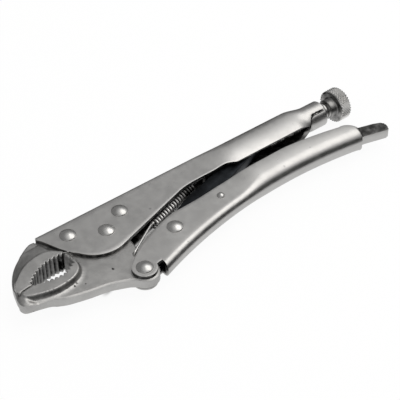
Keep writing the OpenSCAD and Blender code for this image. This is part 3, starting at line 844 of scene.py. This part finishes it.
def nose_cap(points, outer):
    """How far down a jaw goes: less and less towards the outer line of its nose."""
    along = points[:, 0] - nose_x
    return (TIP_DOWN + UNDER_SLOPE * distance(points, outer, closed=False)
            + 2.4 * rising(along, start=5, width=18) + 6 * rising(along, start=23, width=3))


def fixed_jaw_shade(points):
    """Painted shade in the fixed jaw's teeth, at the back of its mouth and where the jaws bite."""
    teeth = in_mouth(points, mouth_line, shallow=0.5, deep=0.97)
    back = in_mouth(points, [mouth_back, (-29.9, -1.2), (-27.0, -1.2)], shallow=0.95, deep=0.95)
    line = in_mouth(points, bite, shallow=0.75, deep=0.75)
    return np.maximum(np.maximum(teeth, line), back)


def chamfers(outline, teeth, elsewhere):
    """Width of the chamfer at each point of an outline: narrow along the teeth."""
    return np.where(distance(np.array(outline), teeth, closed=False) < 1.0, MILLED,
                    elsewhere)


fixed_jaw = plate("fixed_jaw_forging", fixed_outline, fixed_height,
                  edge=chamfers(fixed_outline, mouth_line, elsewhere=0.45), spacing=0.55,
                  shade_paint=fixed_jaw_shade, ridge=ground_line, under=lambda points: nose_cap(points, brow))
finished(fixed_jaw, "fixed_side", crease=42, replaces=("fixed_jaw",))

# %% Outline of the moving jaw
hub_r, heel_r = 9.5, 8.1
floor_line = [(-28.9, -4.2), (-28.4, -6.5), (-28.6, -8.7), (-30, -10.7), (-33.7, -12.6),
              (-37.5, -14.4), (-42, -14.3), (-47, -13.4), (mouth_front[0] + 0.3, -11.65)]
mouth_middle = np.array([-41.0, 3.0])
floor_teeth = toothed_line(smooth_line(floor_line, 0.5), away_from(mouth_middle))
chin = [(0.7, -14.65), (0, -17), (0.8, -19.8), (3.4, -21.2), (9, -22.1)]
nose = smooth_line(moved(chin, nose_x)
                   + [(-52.3, -23.2), (-48.1, -25.6), (-43.3, -27.8), (-32.8, -30.7),
                      (-22.8, -32.7)] + moved([(-15.5, 1.1), (-10.5, -1.2)], px, py), 0.6)
mouth_corner = [(-29.0, -1.6), (-29.7, -2.6), (-29.2, -3.6)]
moving_outline = [(-13, -1.6), (-21, -1.6)] + mouth_corner + floor_teeth[:-1]
moving_outline += [(mouth_front[0] - 1, -11.5)]
moving_outline += moved([(7, -11.85), (4.9, -12.15), (2.8, -13.3)], nose_x) + nose
moving_outline += arc((px, py), heel_r, 207, 372, 0.7)
moving_outline += smooth_line(moved([(8.3, 4.5), (7.6, 9)], px, py)
                              + [(5.6, -21.5), (6.2, -16.5), (7.0, -11.5)], 0.8)[:-1]
moving_outline += arc((0, 0), hub_r, -40, 190, 0.8)
moving_outline = [np.array(p, float) for p in moving_outline]

# %% Height of the moving jaw
wall_front = [(3.9, -12.4), (3.9, -13.6), (5, -15.6), (7.4, -17.3), (10.7, -18.5)]
moving_ridge = smooth_line(moved(wall_front, nose_x)
                           + [(-51.8, -19.9), (-45.6, -20.9), (-38.1, -20.3), (-33.5, -18.9),
                              (-30.2, -16.6), (-28.3, -13.6), (-27.7, -10), (-28.0, -5.5),
                              (-28.6, -2.5)], 0.6)
wall_line = moving_ridge[:]
moving_ridge += [np.array([-31, -2]), np.array([-40, -8])]
nose_line = nose[:14]
tip_z = 5.1
crest, crest_slope, wall_slope = 0.35, 0.5, 2.2
fillet_reach, fillet_rise = 4.6, 1.25
dents = [(2.3, -23.0, 1.9), (-13.9, -24.9, 0.9), (-37.0, -22.9, 0.6), (-35.0, -21.9, 0.5)]


def from_dent(points, x, y):
    """Distance of each point from the middle of a dent."""
    return np.hypot(points[:, 0] - x, points[:, 1] - y)


def moving_height(points):
    """Height of the moving jaw: flat over the teeth, a steep wall, a fillet and dents."""
    from_ridge = outside(points, moving_ridge)
    steep = (tooth_z - crest_slope * np.minimum(from_ridge, crest)
             - wall_slope * np.maximum(from_ridge - crest, 0))
    wall = np.maximum(steep, plate_z)
    share = share_to(points, from_ridge, nose_line)
    tip = np.clip((nose_x + 9 - points[:, 0]) / 6, 0, 1)
    tip_slope = tooth_z - crest_slope * np.minimum(from_ridge, 1) - (tooth_z - tip_z) * share
    lifted = mix(wall, np.maximum(wall, tip_slope), tip * tip * (3 - 2 * tip))
    foot = np.clip(1 - from_ridge / fillet_reach, 0, 1)
    fillet = np.where(from_ridge > 0, fillet_rise * foot ** 2.2, 0)
    floor_z = plate_z + fillet + wavy(points, 0.05, 1.3, 0.9, 1.7) * foot
    for x, y, wide in dents:
        floor_z -= 0.45 * wide * np.clip(1 - from_dent(points, x, y) / wide, 0, 1)
    return np.where(from_ridge == 0, tooth_z, np.maximum(lifted, floor_z))


def moving_jaw_shade(points):
    """Painted shade in the moving jaw's teeth, down the wall behind them and in the dents."""
    from_ridge = outside(points[:, :2], moving_ridge)
    wall = np.clip(1 - np.abs(from_ridge - 0.9) / 0.7, 0, 1) * (points[:, 0] > nose_x + 5)
    teeth = in_mouth(points, mouth_corner + floor_line, shallow=0.6, deep=0.95)
    jaw_shade = np.maximum(wall * 0.8 * (points[:, 2] ** 2 > plate_z ** 2), teeth)
    for x, y, wide in dents:
        jaw_shade = np.maximum(jaw_shade, from_dent(points, x, y) < wide * 0.8)
    return jaw_shade


moving_jaw = plate("moving_jaw_forging", moving_outline, moving_height,
                   edge=chamfers(moving_outline, floor_line, elsewhere=0.8), spacing=0.5,
                   shade_paint=moving_jaw_shade, ridge=wall_line, under=lambda points: nose_cap(points, nose))
finished(moving_jaw, "jaw", crease=42, replaces=("moving_jaw",))

# %% [markdown]
# ## Geometry Nodes
# What repeats or follows a path is made by Geometry Nodes: rivet heads on their seats,
# wire along a spring's path, the thread's helix and the diamonds of the knurl. A short
# helper makes a tree with named inputs, and another one runs it on a base mesh. The
# result is turned into a plain mesh, because a part is handed on without modifiers.


# %% A Geometry Nodes tree with named inputs, and how it is run
def geometry_tree(name, sizes):
    """A new tree, with a geometry input and a number input for each size."""
    group = bpy.data.node_groups.new(name, "GeometryNodeTree")
    group.interface.new_socket("Geometry", in_out="INPUT", socket_type="NodeSocketGeometry")
    for size, value in sizes.items():
        socket = group.interface.new_socket(size, in_out="INPUT", socket_type="NodeSocketFloat")
        socket.default_value = value
    group.interface.new_socket("Geometry", in_out="OUTPUT", socket_type="NodeSocketGeometry")
    tree = Tree(group)
    given = group.nodes.new("NodeGroupInput")
    return tree, {s.name: Value(tree, s) for s in given.outputs if s.name}


def close_tree(tree, shape, material):
    """Ends a tree with Realize Instances and Set Material."""
    real = tree.node("GeometryNodeRealizeInstances", None, {"Geometry": shape})
    dressed = tree.node("GeometryNodeSetMaterial", None, {"Geometry": real, "Material": material})
    tree.node("NodeGroupOutput", None, {"Geometry": dressed})


def grown(name, base, tree, sizes):
    """Runs a tree on a base mesh with the given sizes, and keeps the plain result."""
    thing = linked(name, base)
    modifier = thing.modifiers.new(name, "NODES")
    modifier.node_group = tree.tree
    for socket in tree.tree.interface.items_tree:
        if socket.item_type == "SOCKET" and socket.in_out == "INPUT" and socket.name in sizes:
            modifier[socket.identifier] = sizes[socket.name]
    return applied(thing)


def points_mesh(name, points, edges=(), outward=None):
    """A mesh of bare points, each with the direction that it looks in, if it has one."""
    mesh = bpy.data.meshes.new(name)
    mesh.from_pydata([place(p) for p in points], list(edges), [])
    if outward:
        layer = mesh.attributes.new("outward", "FLOAT_VECTOR", "POINT")
        layer.data.foreach_set("vector", np.array(outward, np.float32).ravel())
    return mesh


def with_painted_shade(tree, shape, amount):
    """Stores an amount of painted shade on each point of a shape within a tree."""
    return tree.node("GeometryNodeStoreNamedAttribute", {"data_type": "FLOAT", "domain": "POINT"},
                     {"Geometry": shape, "Name": "painted_shade", "Value": amount})


def facing_outward(tree):
    """Rotation that turns Z to the outward vector of each base point."""
    outward = tree.node("GeometryNodeInputNamedAttribute", {"data_type": "FLOAT_VECTOR"},
                        {"Name": "outward"})
    return tree.node("FunctionNodeAlignRotationToVector", {"axis": "Z"}, {"Vector": outward})


def position(tree):
    """X of each point; its other outputs are Y and Z."""
    return tree.node("ShaderNodeSeparateXYZ", None, {0: tree.node("GeometryNodeInputPosition")})


# %% [markdown]
# ## Rivets
# A rivet's head is a shallow dome with a small rounded foot. One grid is wrapped round
# the head's axis: its X turns round the axis and its Y runs from the crown to the foot.
# The finished head is then set on every seat, turned to look outwards.

# %% Tree for rivet heads
tree, given = geometry_tree("rivet_heads", {"Radius": 0.0047, "Height": 0.002, "Foot": 0.0004})
TURNS, STEPS = 48, 17
CAP = 0.82
SUNK = 0.0003
grid = tree.node("GeometryNodeMeshGrid", None,
                 {"Size X": 1.0, "Size Y": 1.0, "Vertices X": TURNS + 1, "Vertices Y": STEPS})
at = position(tree)
turn, down_grid = (at + 0.5) * math.tau, at.other("Y") + 0.5
dome = down_grid.math("MINIMUM", down_grid * 1.25, 1.0)
skirt = down_grid.math("MAXIMUM", down_grid * 5.0 - 4.0, 0.0)
bend = dome * CAP
sine, cosine = bend.math("SINE", bend), bend.math("COSINE", bend)
out_to = given["Radius"] * sine * (1 / math.sin(CAP))
rise = (cosine - math.cos(CAP)) * (1 / (1 - math.cos(CAP)))
up_to = given["Foot"] + (given["Height"] - given["Foot"]) * rise - skirt * (given["Foot"] + SUNK)
spun = tree.node("ShaderNodeCombineXYZ", None,
                 {0: out_to * turn.math("COSINE", turn), 1: out_to * turn.math("SINE", turn),
                  2: up_to})
shape = tree.node("GeometryNodeSetPosition", None, {"Geometry": grid, "Position": spun})
# Painted shade: a dark ring round the foot of each head, where it meets the sheet.
shape = with_painted_shade(tree, shape, down_grid.ramp(0.55, 0.9, 0, 0.95))
shape = tree.node("GeometryNodeMergeByDistance", None, {"Geometry": shape, "Distance": 1e-6})
heads = tree.node("GeometryNodeInstanceOnPoints", None,
                  {"Points": given["Geometry"], "Instance": shape,
                   "Rotation": facing_outward(tree)})
close_tree(tree, heads, bright)
rivet_tree = tree


# %% Rivets of each body
def rivets(name, body, nodes):
    """Both heads of each rivet, for the solids in nodes, as one piece."""
    low, high = box_of(nodes[0])
    seats, outwards = [], []
    for node in nodes:
        a, b = box_of(node)
        for side in (1, -1):
            seats.append(((a.x + b.x) / 2, (a.y + b.y) / 2, side * head_out))
            outwards.append((0, 0, side))
    sizes = {"Radius": (high.x - low.x) / 2 * MM, "Height": (high.z - head_out) * MM,
             "Foot": 0.16 * (high.z - head_out) * MM}
    made = grown(name, points_mesh(name, seats, outward=outwards), rivet_tree, sizes)
    return finished(sealed(made), body, crease=60, replaces=nodes)


rivets("jaw_rivets", "fixed_side", ["jaw_rivet_front", "jaw_rivet_rear", "jaw_pivot_rivet"])
rivets("lever_rivets", "lever", ["handle_pivot_rivet", "link_rivet"])
rivets("release_lever_rivet", "lever", ["release_rivet"])

# %% [markdown]
# ## Return spring
# The spring pulls the moving jaw open. Its wire hooks into the jaw, runs as a coil
# between the handles and ends in a tab of the fixed handle. The path is a list of points
# and the wire is that path with a round section.

# %% Path of the spring
wire_r, coil_r, coil_pitch = 0.62, 2.35, 2.15
PER_TURN = 20
hook = np.array([2.3, py + 13.1])
tab = np.array([72.0, back_y - 12.7])
coil_front, coil_rear = hook + (21.4, 13.4), tab - (10.8, 4.0)
span = np.linalg.norm(coil_rear - coil_front)
pull = (coil_rear - coil_front) / span
beside = np.array([-pull[1], pull[0]])


def on_spring(s, n, z):
    """Point at s along the coil's axis, n beside it and z above it."""
    return np.array([*(coil_front + s * pull + n * beside), z])


def on_lead(t, z):
    """Point at t of the straight lead from the hook to the coil."""
    return np.array([*mix(hook, coil_front, t), z])


lead = smooth_line([on_lead(-0.03, 0.4), on_lead(-0.05, 2.2), on_lead(-0.06, 3.5),
                    on_lead(-0.03, 4.5), on_lead(0.04, 4.8), on_lead(0.12, 4.6),
                    on_lead(0.5, 4.3), on_lead(0.9, 3.5), on_spring(0, 0.1, coil_r + 0.1),
                    on_spring(1.4, 0.1, coil_r)], 0.6)
turns = int((span - 1.5) / coil_pitch)
coil = [on_spring(mix(1.5, span, i / (turns * PER_TURN)),
                  coil_r * math.sin(math.tau * i / PER_TURN),
                  coil_r * math.cos(math.tau * i / PER_TURN))
        for i in range(turns * PER_TURN + 1)]
tail = smooth_line([coil[-1], on_spring(span + 1.2, 0.6, 1.6), on_spring(span + 4, 0, 0.2),
                    (tab[0] - 2.4, tab[1] - 0.4, 0), (tab[0] + 1.6, tab[1], 0),
                    (tab[0] + 2.8, tab[1] + 0.7, 0), (tab[0] + 3.2, tab[1] + 2, 0),
                    (tab[0] + 2.8, tab[1] + 4, 0)], 0.6)
spring_path = lead + coil + tail[1:]

# %% Tree for wire along a path
tree, given = geometry_tree("wire_along_path", {"Wire radius": 0.0005})
path = tree.node("GeometryNodeMeshToCurve", None, {"Mesh": given["Geometry"]})
section = tree.node("GeometryNodeCurvePrimitiveCircle", None,
                    {"Resolution": 10, "Radius": given["Wire radius"]})
wire = tree.node("GeometryNodeCurveToMesh", None,
                 {"Curve": path, "Profile Curve": section, "Fill Caps": True})
close_tree(tree, wire, wire_steel)
base = points_mesh("spring_path", spring_path,
                   [(i, i + 1) for i in range(len(spring_path) - 1)])
spring = grown("return_spring_wire", base, tree, {"Wire radius": wire_r * MM})
wire_at = np.array([measure(v.co) for v in spring.data.vertices])
# Painted shade: the wire darkens towards the rear, where the coil runs into the shade under the
# fixed handle, and on its lower, far half.
shade_from, shade_over = 42, 12
stored_shade(spring, np.maximum((wire_at[:, 0] - shade_from) / shade_over,
                         0.85 * (wire_at[:, 2] < 0)).clip(0, 0.92))
spring.data.shade_smooth()
spring.data.set_sharp_from_angle(angle=math.radians(60))
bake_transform(spring)
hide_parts("return_spring")
print("spring:", turns, "turns,", len(spring.data.polygons), "faces")

# %% [markdown]
# ## Spring tab, toggle link and release lever
# These three are punched plates. The solids of the link and the release lever already
# have the right outline, so they are copied, merged and given rounded edges. The tab is
# a short strip with a hole, drawn as a ring of quads.


# %% Copies of solids with rounded edges
def dressed_copy(name, node, width, material, body, segments=2, corners=None):
    """A merged copy of a solid with its edges rounded, and the upright corners behind
    x = corners[0] rounded to corners[1]."""
    mesh = frame["nodes"][node].data.copy()
    work = bmesh.new()
    work.from_mesh(mesh)
    bmesh.ops.remove_doubles(work, verts=work.verts, dist=2e-6)
    bmesh.ops.dissolve_limit(work, angle_limit=math.radians(0.5), verts=work.verts,
                             edges=work.edges)
    if corners:
        behind, corner_r = place((corners[0], 0, 0)).x, corners[1] * MM
        upright = [e for e in work.edges if e.calc_face_angle(0) > math.radians(15)
                   and min(v.co.x for v in e.verts) > behind
                   and (e.verts[0].co - e.verts[1].co).xy.length < 1e-5]
        bmesh.ops.bevel(work, geom=upright, offset=corner_r, segments=4, affect="EDGES",
                        clamp_overlap=True)
        print(f"{name}: {len(upright)} corners rounded")
    work.to_mesh(mesh)
    mesh.materials.clear()
    mesh.materials.append(material)
    thing = bevelled(linked(name, mesh), width, segments, angle=30)
    return finished(thing, body, replaces=(node,))


def tab_strip(name, at, half_width, below, above, thick, hole_r, sides=32):
    """A strip across the tool with a hole at the point at, as a ring of quads."""
    low_corner, high_corner = math.atan2(half_width, -below), math.atan2(half_width, above)
    angles = sorted([math.tau * k / sides for k in range(sides)]
                    + [a % math.tau for c in (low_corner, high_corner) for a in (c, -c)])
    points = []
    for x in (at[0] - thick / 2, at[0] + thick / 2):
        for a in angles:
            along, aside = math.cos(a), math.sin(a)
            reach = min((above if along > 0 else below) / max(abs(along), 1e-9),
                        half_width / max(abs(aside), 1e-9))
            points += [(x, at[1] + r * along, r * aside) for r in (hole_r, reach)]
    n = len(angles)
    faces = []
    for k in range(n):
        a, b = 2 * k, 2 * ((k + 1) % n)
        inner, outer, back = (a, b), (a + 1, b + 1), 2 * n
        faces += [(inner[0], inner[1], outer[1], outer[0]),
                  (outer[0] + back, outer[1] + back, inner[1] + back, inner[0] + back),
                  (outer[0], outer[1], outer[1] + back, outer[0] + back),
                  (inner[1], inner[0], inner[0] + back, inner[1] + back)]
    strip = bevelled(sealed(new_object(name, points, faces, plated)), 0.2, angle=50)
    # Painted shade: the whole tab is darkened, for it sits in the shade inside the handle.
    stored_shade(strip, np.full(len(strip.data.vertices), 0.92))
    return finished(strip, "fixed_side")


tab_strip("spring_tab", tab, half_width=2.2, below=3.0, above=back_y - 1.0 - tab[1],
          thick=sheet_t, hole_r=1.6)
dressed_copy("toggle_link_plate", "toggle_link", 0.45, link_shade_steel, "link")
release = dressed_copy("release_lever_sheet", "release_lever", 0.8, plated, "release",
                       segments=4, corners=(box_of("release_lever")[1].x - 6, 2.2))
# Painted shade: the flat top faces of the release lever are darkened.
shaded_top = release.data.attributes.new("painted_shade", "FLOAT", "FACE")
shaded_top.data.foreach_set("value", [0.8 * (f.normal.z > 0.9) for f in release.data.polygons])

# %% [markdown]
# ## Adjusting screw
# A turned core carries the thread, which ends in a smooth collar under the knob. The core
# is a profile turned round the axis. The thread is a helix with a four-sided section,
# drawn by Geometry Nodes: what stands out of the core is the ridge.

# %% Turned pieces
tip_x = box_of("adjusting_screw")[0].x
knob_low, knob_high = box_of("screw_knob")
knob_x, knob_end, knob_r = knob_low.x, knob_high.x, (knob_high.z - knob_low.z) / 2
thread_show = 5.8
collar_x, collar_r = handle_reach + thread_show, 6.0
thread_r, pitch, ridge_r = 5.2, 1.5, 0.72
root_r = thread_r - 0.95


def turned_piece(name, profile, material, shade_paint, steps=96):
    """A closed solid turned from (radius, x) points, with painted shade of an amount between two x.
    """
    inner = profile[1:-1]
    points = [(profile[0][1], screw_y, 0.0)]
    for radius, x in inner:
        points += [(x, screw_y + radius * math.cos(math.tau * k / steps),
                    radius * math.sin(math.tau * k / steps)) for k in range(steps)]
    points.append((profile[-1][1], screw_y, 0.0))
    faces = [(0, 1 + k, 1 + (k + 1) % steps) for k in range(steps)]
    for i in range(len(inner) - 1):
        a, b = 1 + i * steps, 1 + (i + 1) * steps
        faces += [(a + k, b + k, b + (k + 1) % steps, a + (k + 1) % steps) for k in range(steps)]
    last, end = 1 + (len(inner) - 1) * steps, len(points) - 1
    faces += [(end, last + (k + 1) % steps, last + k) for k in range(steps)]
    low, high, amount = shade_paint
    return stored_shade(sealed(new_object(name, points, faces, material)),
                 np.array([amount * (low < p[0] < high) for p in points]))


# Painted shade dims the whole screw from its tip to the knob, which keeps down the collar's
# highlight.
core = turned_piece("adjusting_screw_core",
                    [(0, tip_x), (root_r - 1.2, tip_x), (root_r - 0.4, tip_x + 0.2),
                     (root_r, tip_x + 0.9), (root_r, collar_x), (collar_r - 0.5, collar_x + 0.05),
                     (collar_r - 0.1, collar_x + 0.25), (collar_r, collar_x + 0.6),
                     (collar_r, knob_x - 1.0), (collar_r + 0.15, knob_x - 0.45),
                     (collar_r + 0.6, knob_x - 0.12), (0, knob_x - 0.1)], screw_steel,
                    (tip_x, knob_x, 0.45))
finished(core, "screw", crease=40, replaces=("adjusting_screw",))

# %% Tree for the thread
tree, given = geometry_tree("thread", {"Radius": 0.005, "Pitch": 0.0015, "Turns": 20.0,
                                       "Depth": 0.001})
height = given["Pitch"] * given["Turns"]
helix = tree.node("GeometryNodeCurveSpiral", None,
                  {"Resolution": 64, "Rotations": given["Turns"], "Start Radius": given["Radius"],
                   "End Radius": given["Radius"], "Height": height})
laid = tree.node("GeometryNodeTransform", None,
                 {"Geometry": helix, "Rotation": (0, math.pi / 2, 0)})
ridge = tree.node("GeometryNodeCurvePrimitiveCircle", None,
                  {"Resolution": 4, "Radius": given["Depth"]})
thread = tree.node("GeometryNodeCurveToMesh", None,
                   {"Curve": laid, "Profile Curve": ridge, "Fill Caps": True})
placed = tree.node("GeometryNodeInstanceOnPoints", None,
                   {"Points": given["Geometry"], "Instance": thread})
close_tree(tree, placed, screw_steel)
thread_from = tip_x + 4
thread_turns = (collar_x + 0.4 - thread_from) / pitch
thread = grown("adjusting_screw_thread", points_mesh("thread", [(thread_from, screw_y, 0)]), tree,
               {"Radius": (thread_r - ridge_r) * MM, "Pitch": pitch * MM,
                "Turns": thread_turns, "Depth": ridge_r * MM})
finished(thread, "screw", crease=30)

# %% [markdown]
# ## Knurled knob
# The knob is turned too, with a small chamfer in front and a broader one behind. Its rim
# is knurled: rows of small diamonds, pressed in by two crossed wheels. Each diamond is a
# flat four-sided pyramid, and every second row is moved by half a step.

# %% Knob body
knob_in = knob_r - 0.5
# Painted shade darkens the knob's front face, which lies in shade.
knob = turned_piece("screw_knob_body",
                    [(0, knob_x + 0.05), (4.5, knob_x), (knob_r - 1.5, knob_x + 0.02),
                     (knob_r - 1.2, knob_x + 0.1), (knob_in - 0.1, knob_x + 0.65),
                     (knob_in, knob_x + 0.85), (knob_in, knob_end - 1.2),
                     (knob_in - 0.1, knob_end - 1),
                     (knob_r - 1.6, knob_end - 0.15), (knob_r - 1.9, knob_end - 0.02),
                     (5.2, knob_end), (4.9, knob_end - 0.3), (0, knob_end - 0.32)], knurled,
                    (knob_x - 1, knob_x + 0.2, 0.8))
finished(knob, "knob", crease=35, replaces=("screw_knob",))

# %% Tree for the knurl
tree, given = geometry_tree("diamond_knurl", {"Width": 0.001, "Height": 0.0005})
cone = tree.node("GeometryNodeMeshCone", {"fill_type": "NONE"},
                 {"Vertices": 4, "Radius Top": 0.0, "Radius Bottom": given["Width"],
                  "Depth": given["Height"]})
# Painted shade: each diamond is darker towards its foot, in the valleys of the knurl.
cone = with_painted_shade(tree, cone, position(tree).other("Z").ramp(0.0003, 0.0, 0.0, 0.2))
along_x = tree.node("FunctionNodeAlignRotationToVector", {"axis": "X", "pivot_axis": "Z"},
                    {"Rotation": facing_outward(tree), "Vector": (1.0, 0.0, 0.0)})
diamonds = tree.node("GeometryNodeInstanceOnPoints", None,
                     {"Points": given["Geometry"], "Instance": cone, "Rotation": along_x})
close_tree(tree, diamonds, knurled)
seats, outwards = [], []
around, bands = 36, 9
band_from, band_to = knob_x + 0.9, knob_end - 1.1
for band in range(bands):
    x = mix(band_from, band_to, band / (bands - 1))
    for k in range(around):
        a = math.tau * (k + 0.5 * (band % 2)) / around
        seats.append((x, screw_y + knob_in * math.cos(a), knob_in * math.sin(a)))
        outwards.append((0, math.cos(a), math.sin(a)))
knurl = grown("screw_knob_knurl", points_mesh("knurl", seats, outward=outwards), tree,
              {"Width": math.tau * knob_in / around / 2 * MM, "Height": (knob_r - knob_in) * MM})
finished(knurl, "knob", crease=10)

# %% [markdown]
# ## Floor, light and camera
# Metal looks like what it mirrors, so light for steel is mostly a plan of what stands
# where. A large soft lamp hangs above, on the right. The steel sees a grey room with a
# glowing ceiling, a small window and a pale wall on the left, and a dark patch half-way
# up in front, which draws the dark line along each bend. Everything else is lit by an
# even glow. The floor is a pale card that shows white to the camera. Steel mirrors it
# only close by, and between the handles the card itself is seen, with its shadow.

# %% Floor
floor_mesh = bpy.data.meshes.new("floor")
FLOOR = 6.0
floor_mesh.from_pydata([(x * FLOOR, y * FLOOR, 0) for x, y in [(-1, -1), (1, -1), (1, 1), (-1, 1)]],
                       [], [(0, 1, 2, 3)])
linked("floor", floor_mesh)
card = bpy.data.materials.new("pale_card")
floor_mesh.materials.append(card)
tree = empty_tree(card)
camera_ray = tree.node("ShaderNodeLightPath")
glossy_ray, clear_ray = (camera_ray.other(f"Is {kind} Ray") for kind in ("Glossy", "Transmission"))
mirrored = camera_ray.other("Ray Length").ramp(0.022, 0.055, 0.76, 0.0)
closed_in = tree.node("ShaderNodeAmbientOcclusion", {"samples": 24}, {"Distance": 0.03}, out=1)
matt = tree.node("ShaderNodeBsdfDiffuse", None, {"Color": (0.86, 0.86, 0.86, 1)})
white = tree.node("ShaderNodeEmission", None, {"Color": (1, 1, 1, 1), "Strength": 1.03})
mirror_glow = tree.node("ShaderNodeEmission", None, {"Strength": mirrored})
spot_x = tree.node("ShaderNodeSeparateXYZ", None, {0: tree.node("ShaderNodeTexCoord", out=3)})
GAP_SLOPE, GAP_Y = 0.27, 0.017
from_gap = spot_x.other("Y") - spot_x * GAP_SLOPE - GAP_Y
between = from_gap.math("ABSOLUTE", from_gap).ramp(0.012, 0.009) * spot_x.ramp(-0.084, -0.078)
open_air = 1 - (1 - closed_in.ramp(0.2, 0.42)) * between
look = tree.node("ShaderNodeMixShader", None, {0: camera_ray * open_air * 0.9, 1: matt, 2: white})
look = tree.node("ShaderNodeMixShader", None, {0: glossy_ray + clear_ray, 1: look,
                                               2: mirror_glow})
tree.node("ShaderNodeOutputMaterial", None, {"Surface": look})

# %% Room and lamps
world = bpy.data.worlds.new("room")
bpy.context.scene.world = world
tree = empty_tree(world)
camera_ray = tree.node("ShaderNodeLightPath")
glossy_ray = camera_ray.other("Is Glossy Ray")
way = tree.node("ShaderNodeTexCoord", out=0)


def lobe(direction, inner, outer):
    """1 within inner degrees of a direction, easing to 0 at outer degrees."""
    aimed = tree.node("ShaderNodeVectorMath", {"operation": "DOT_PRODUCT"},
                      {0: way, 1: tuple(Vector(direction).normalized())}, out=1)
    return aimed.ramp(math.cos(math.radians(outer)), math.cos(math.radians(inner)))


ceiling = lobe((0.45, -0.2, 0.87), inner=12, outer=62)
window = lobe((0.49, 0.3, 0.81), inner=3, outer=12)
up = tree.node("ShaderNodeSeparateXYZ", None, {0: way}, out=2)
half_way_up = up.ramp(0.0, 0.12) * (1 - up.ramp(0.38, 0.6))
dark_front = half_way_up * lobe((0.43, -0.84, 0.33), inner=32, outer=54)
left_wall = lobe((-0.75, -0.65, 0.1), inner=15, outer=50)
room = (0.22 + ceiling * 0.48 + window * 0.6 + left_wall * 0.28) * (1 - dark_front)
EVEN = 0.68
level = camera_ray + (1 - camera_ray) * (glossy_ray * room + (1 - glossy_ray) * EVEN)
glow = tree.node("ShaderNodeBackground", None, {"Color": (1, 1, 1, 1), "Strength": level})
tree.node("ShaderNodeOutputWorld", None, {"Surface": glow})


def lamp(name, at, size, watts, colour):
    """A square soft lamp that looks at the middle of the tool."""
    light = bpy.data.lights.new(name, "AREA")
    light.size, light.energy, light.color = size, watts, colour
    thing = linked(name, light)
    thing.location = at
    thing.rotation_euler = (-Vector(at)).to_track_quat("-Z", "Y").to_euler()


lamp("key_lamp", at=(0.4, -0.1, 0.8), size=0.7, watts=1.6, colour=(1.0, 0.97, 0.93))

# %% Camera
camera = linked("camera", bpy.data.cameras.new("camera"))
camera.data.lens = 112.05
camera.location = place((-274.8, -419.8, 460.6))
aim = place((58.7, -8.1, 0)) - camera.location
camera.rotation_euler = aim.to_track_quat("-Z", "Y").to_euler()
bpy.context.scene.camera = camera
bpy.context.scene.view_settings.view_transform = "Standard"
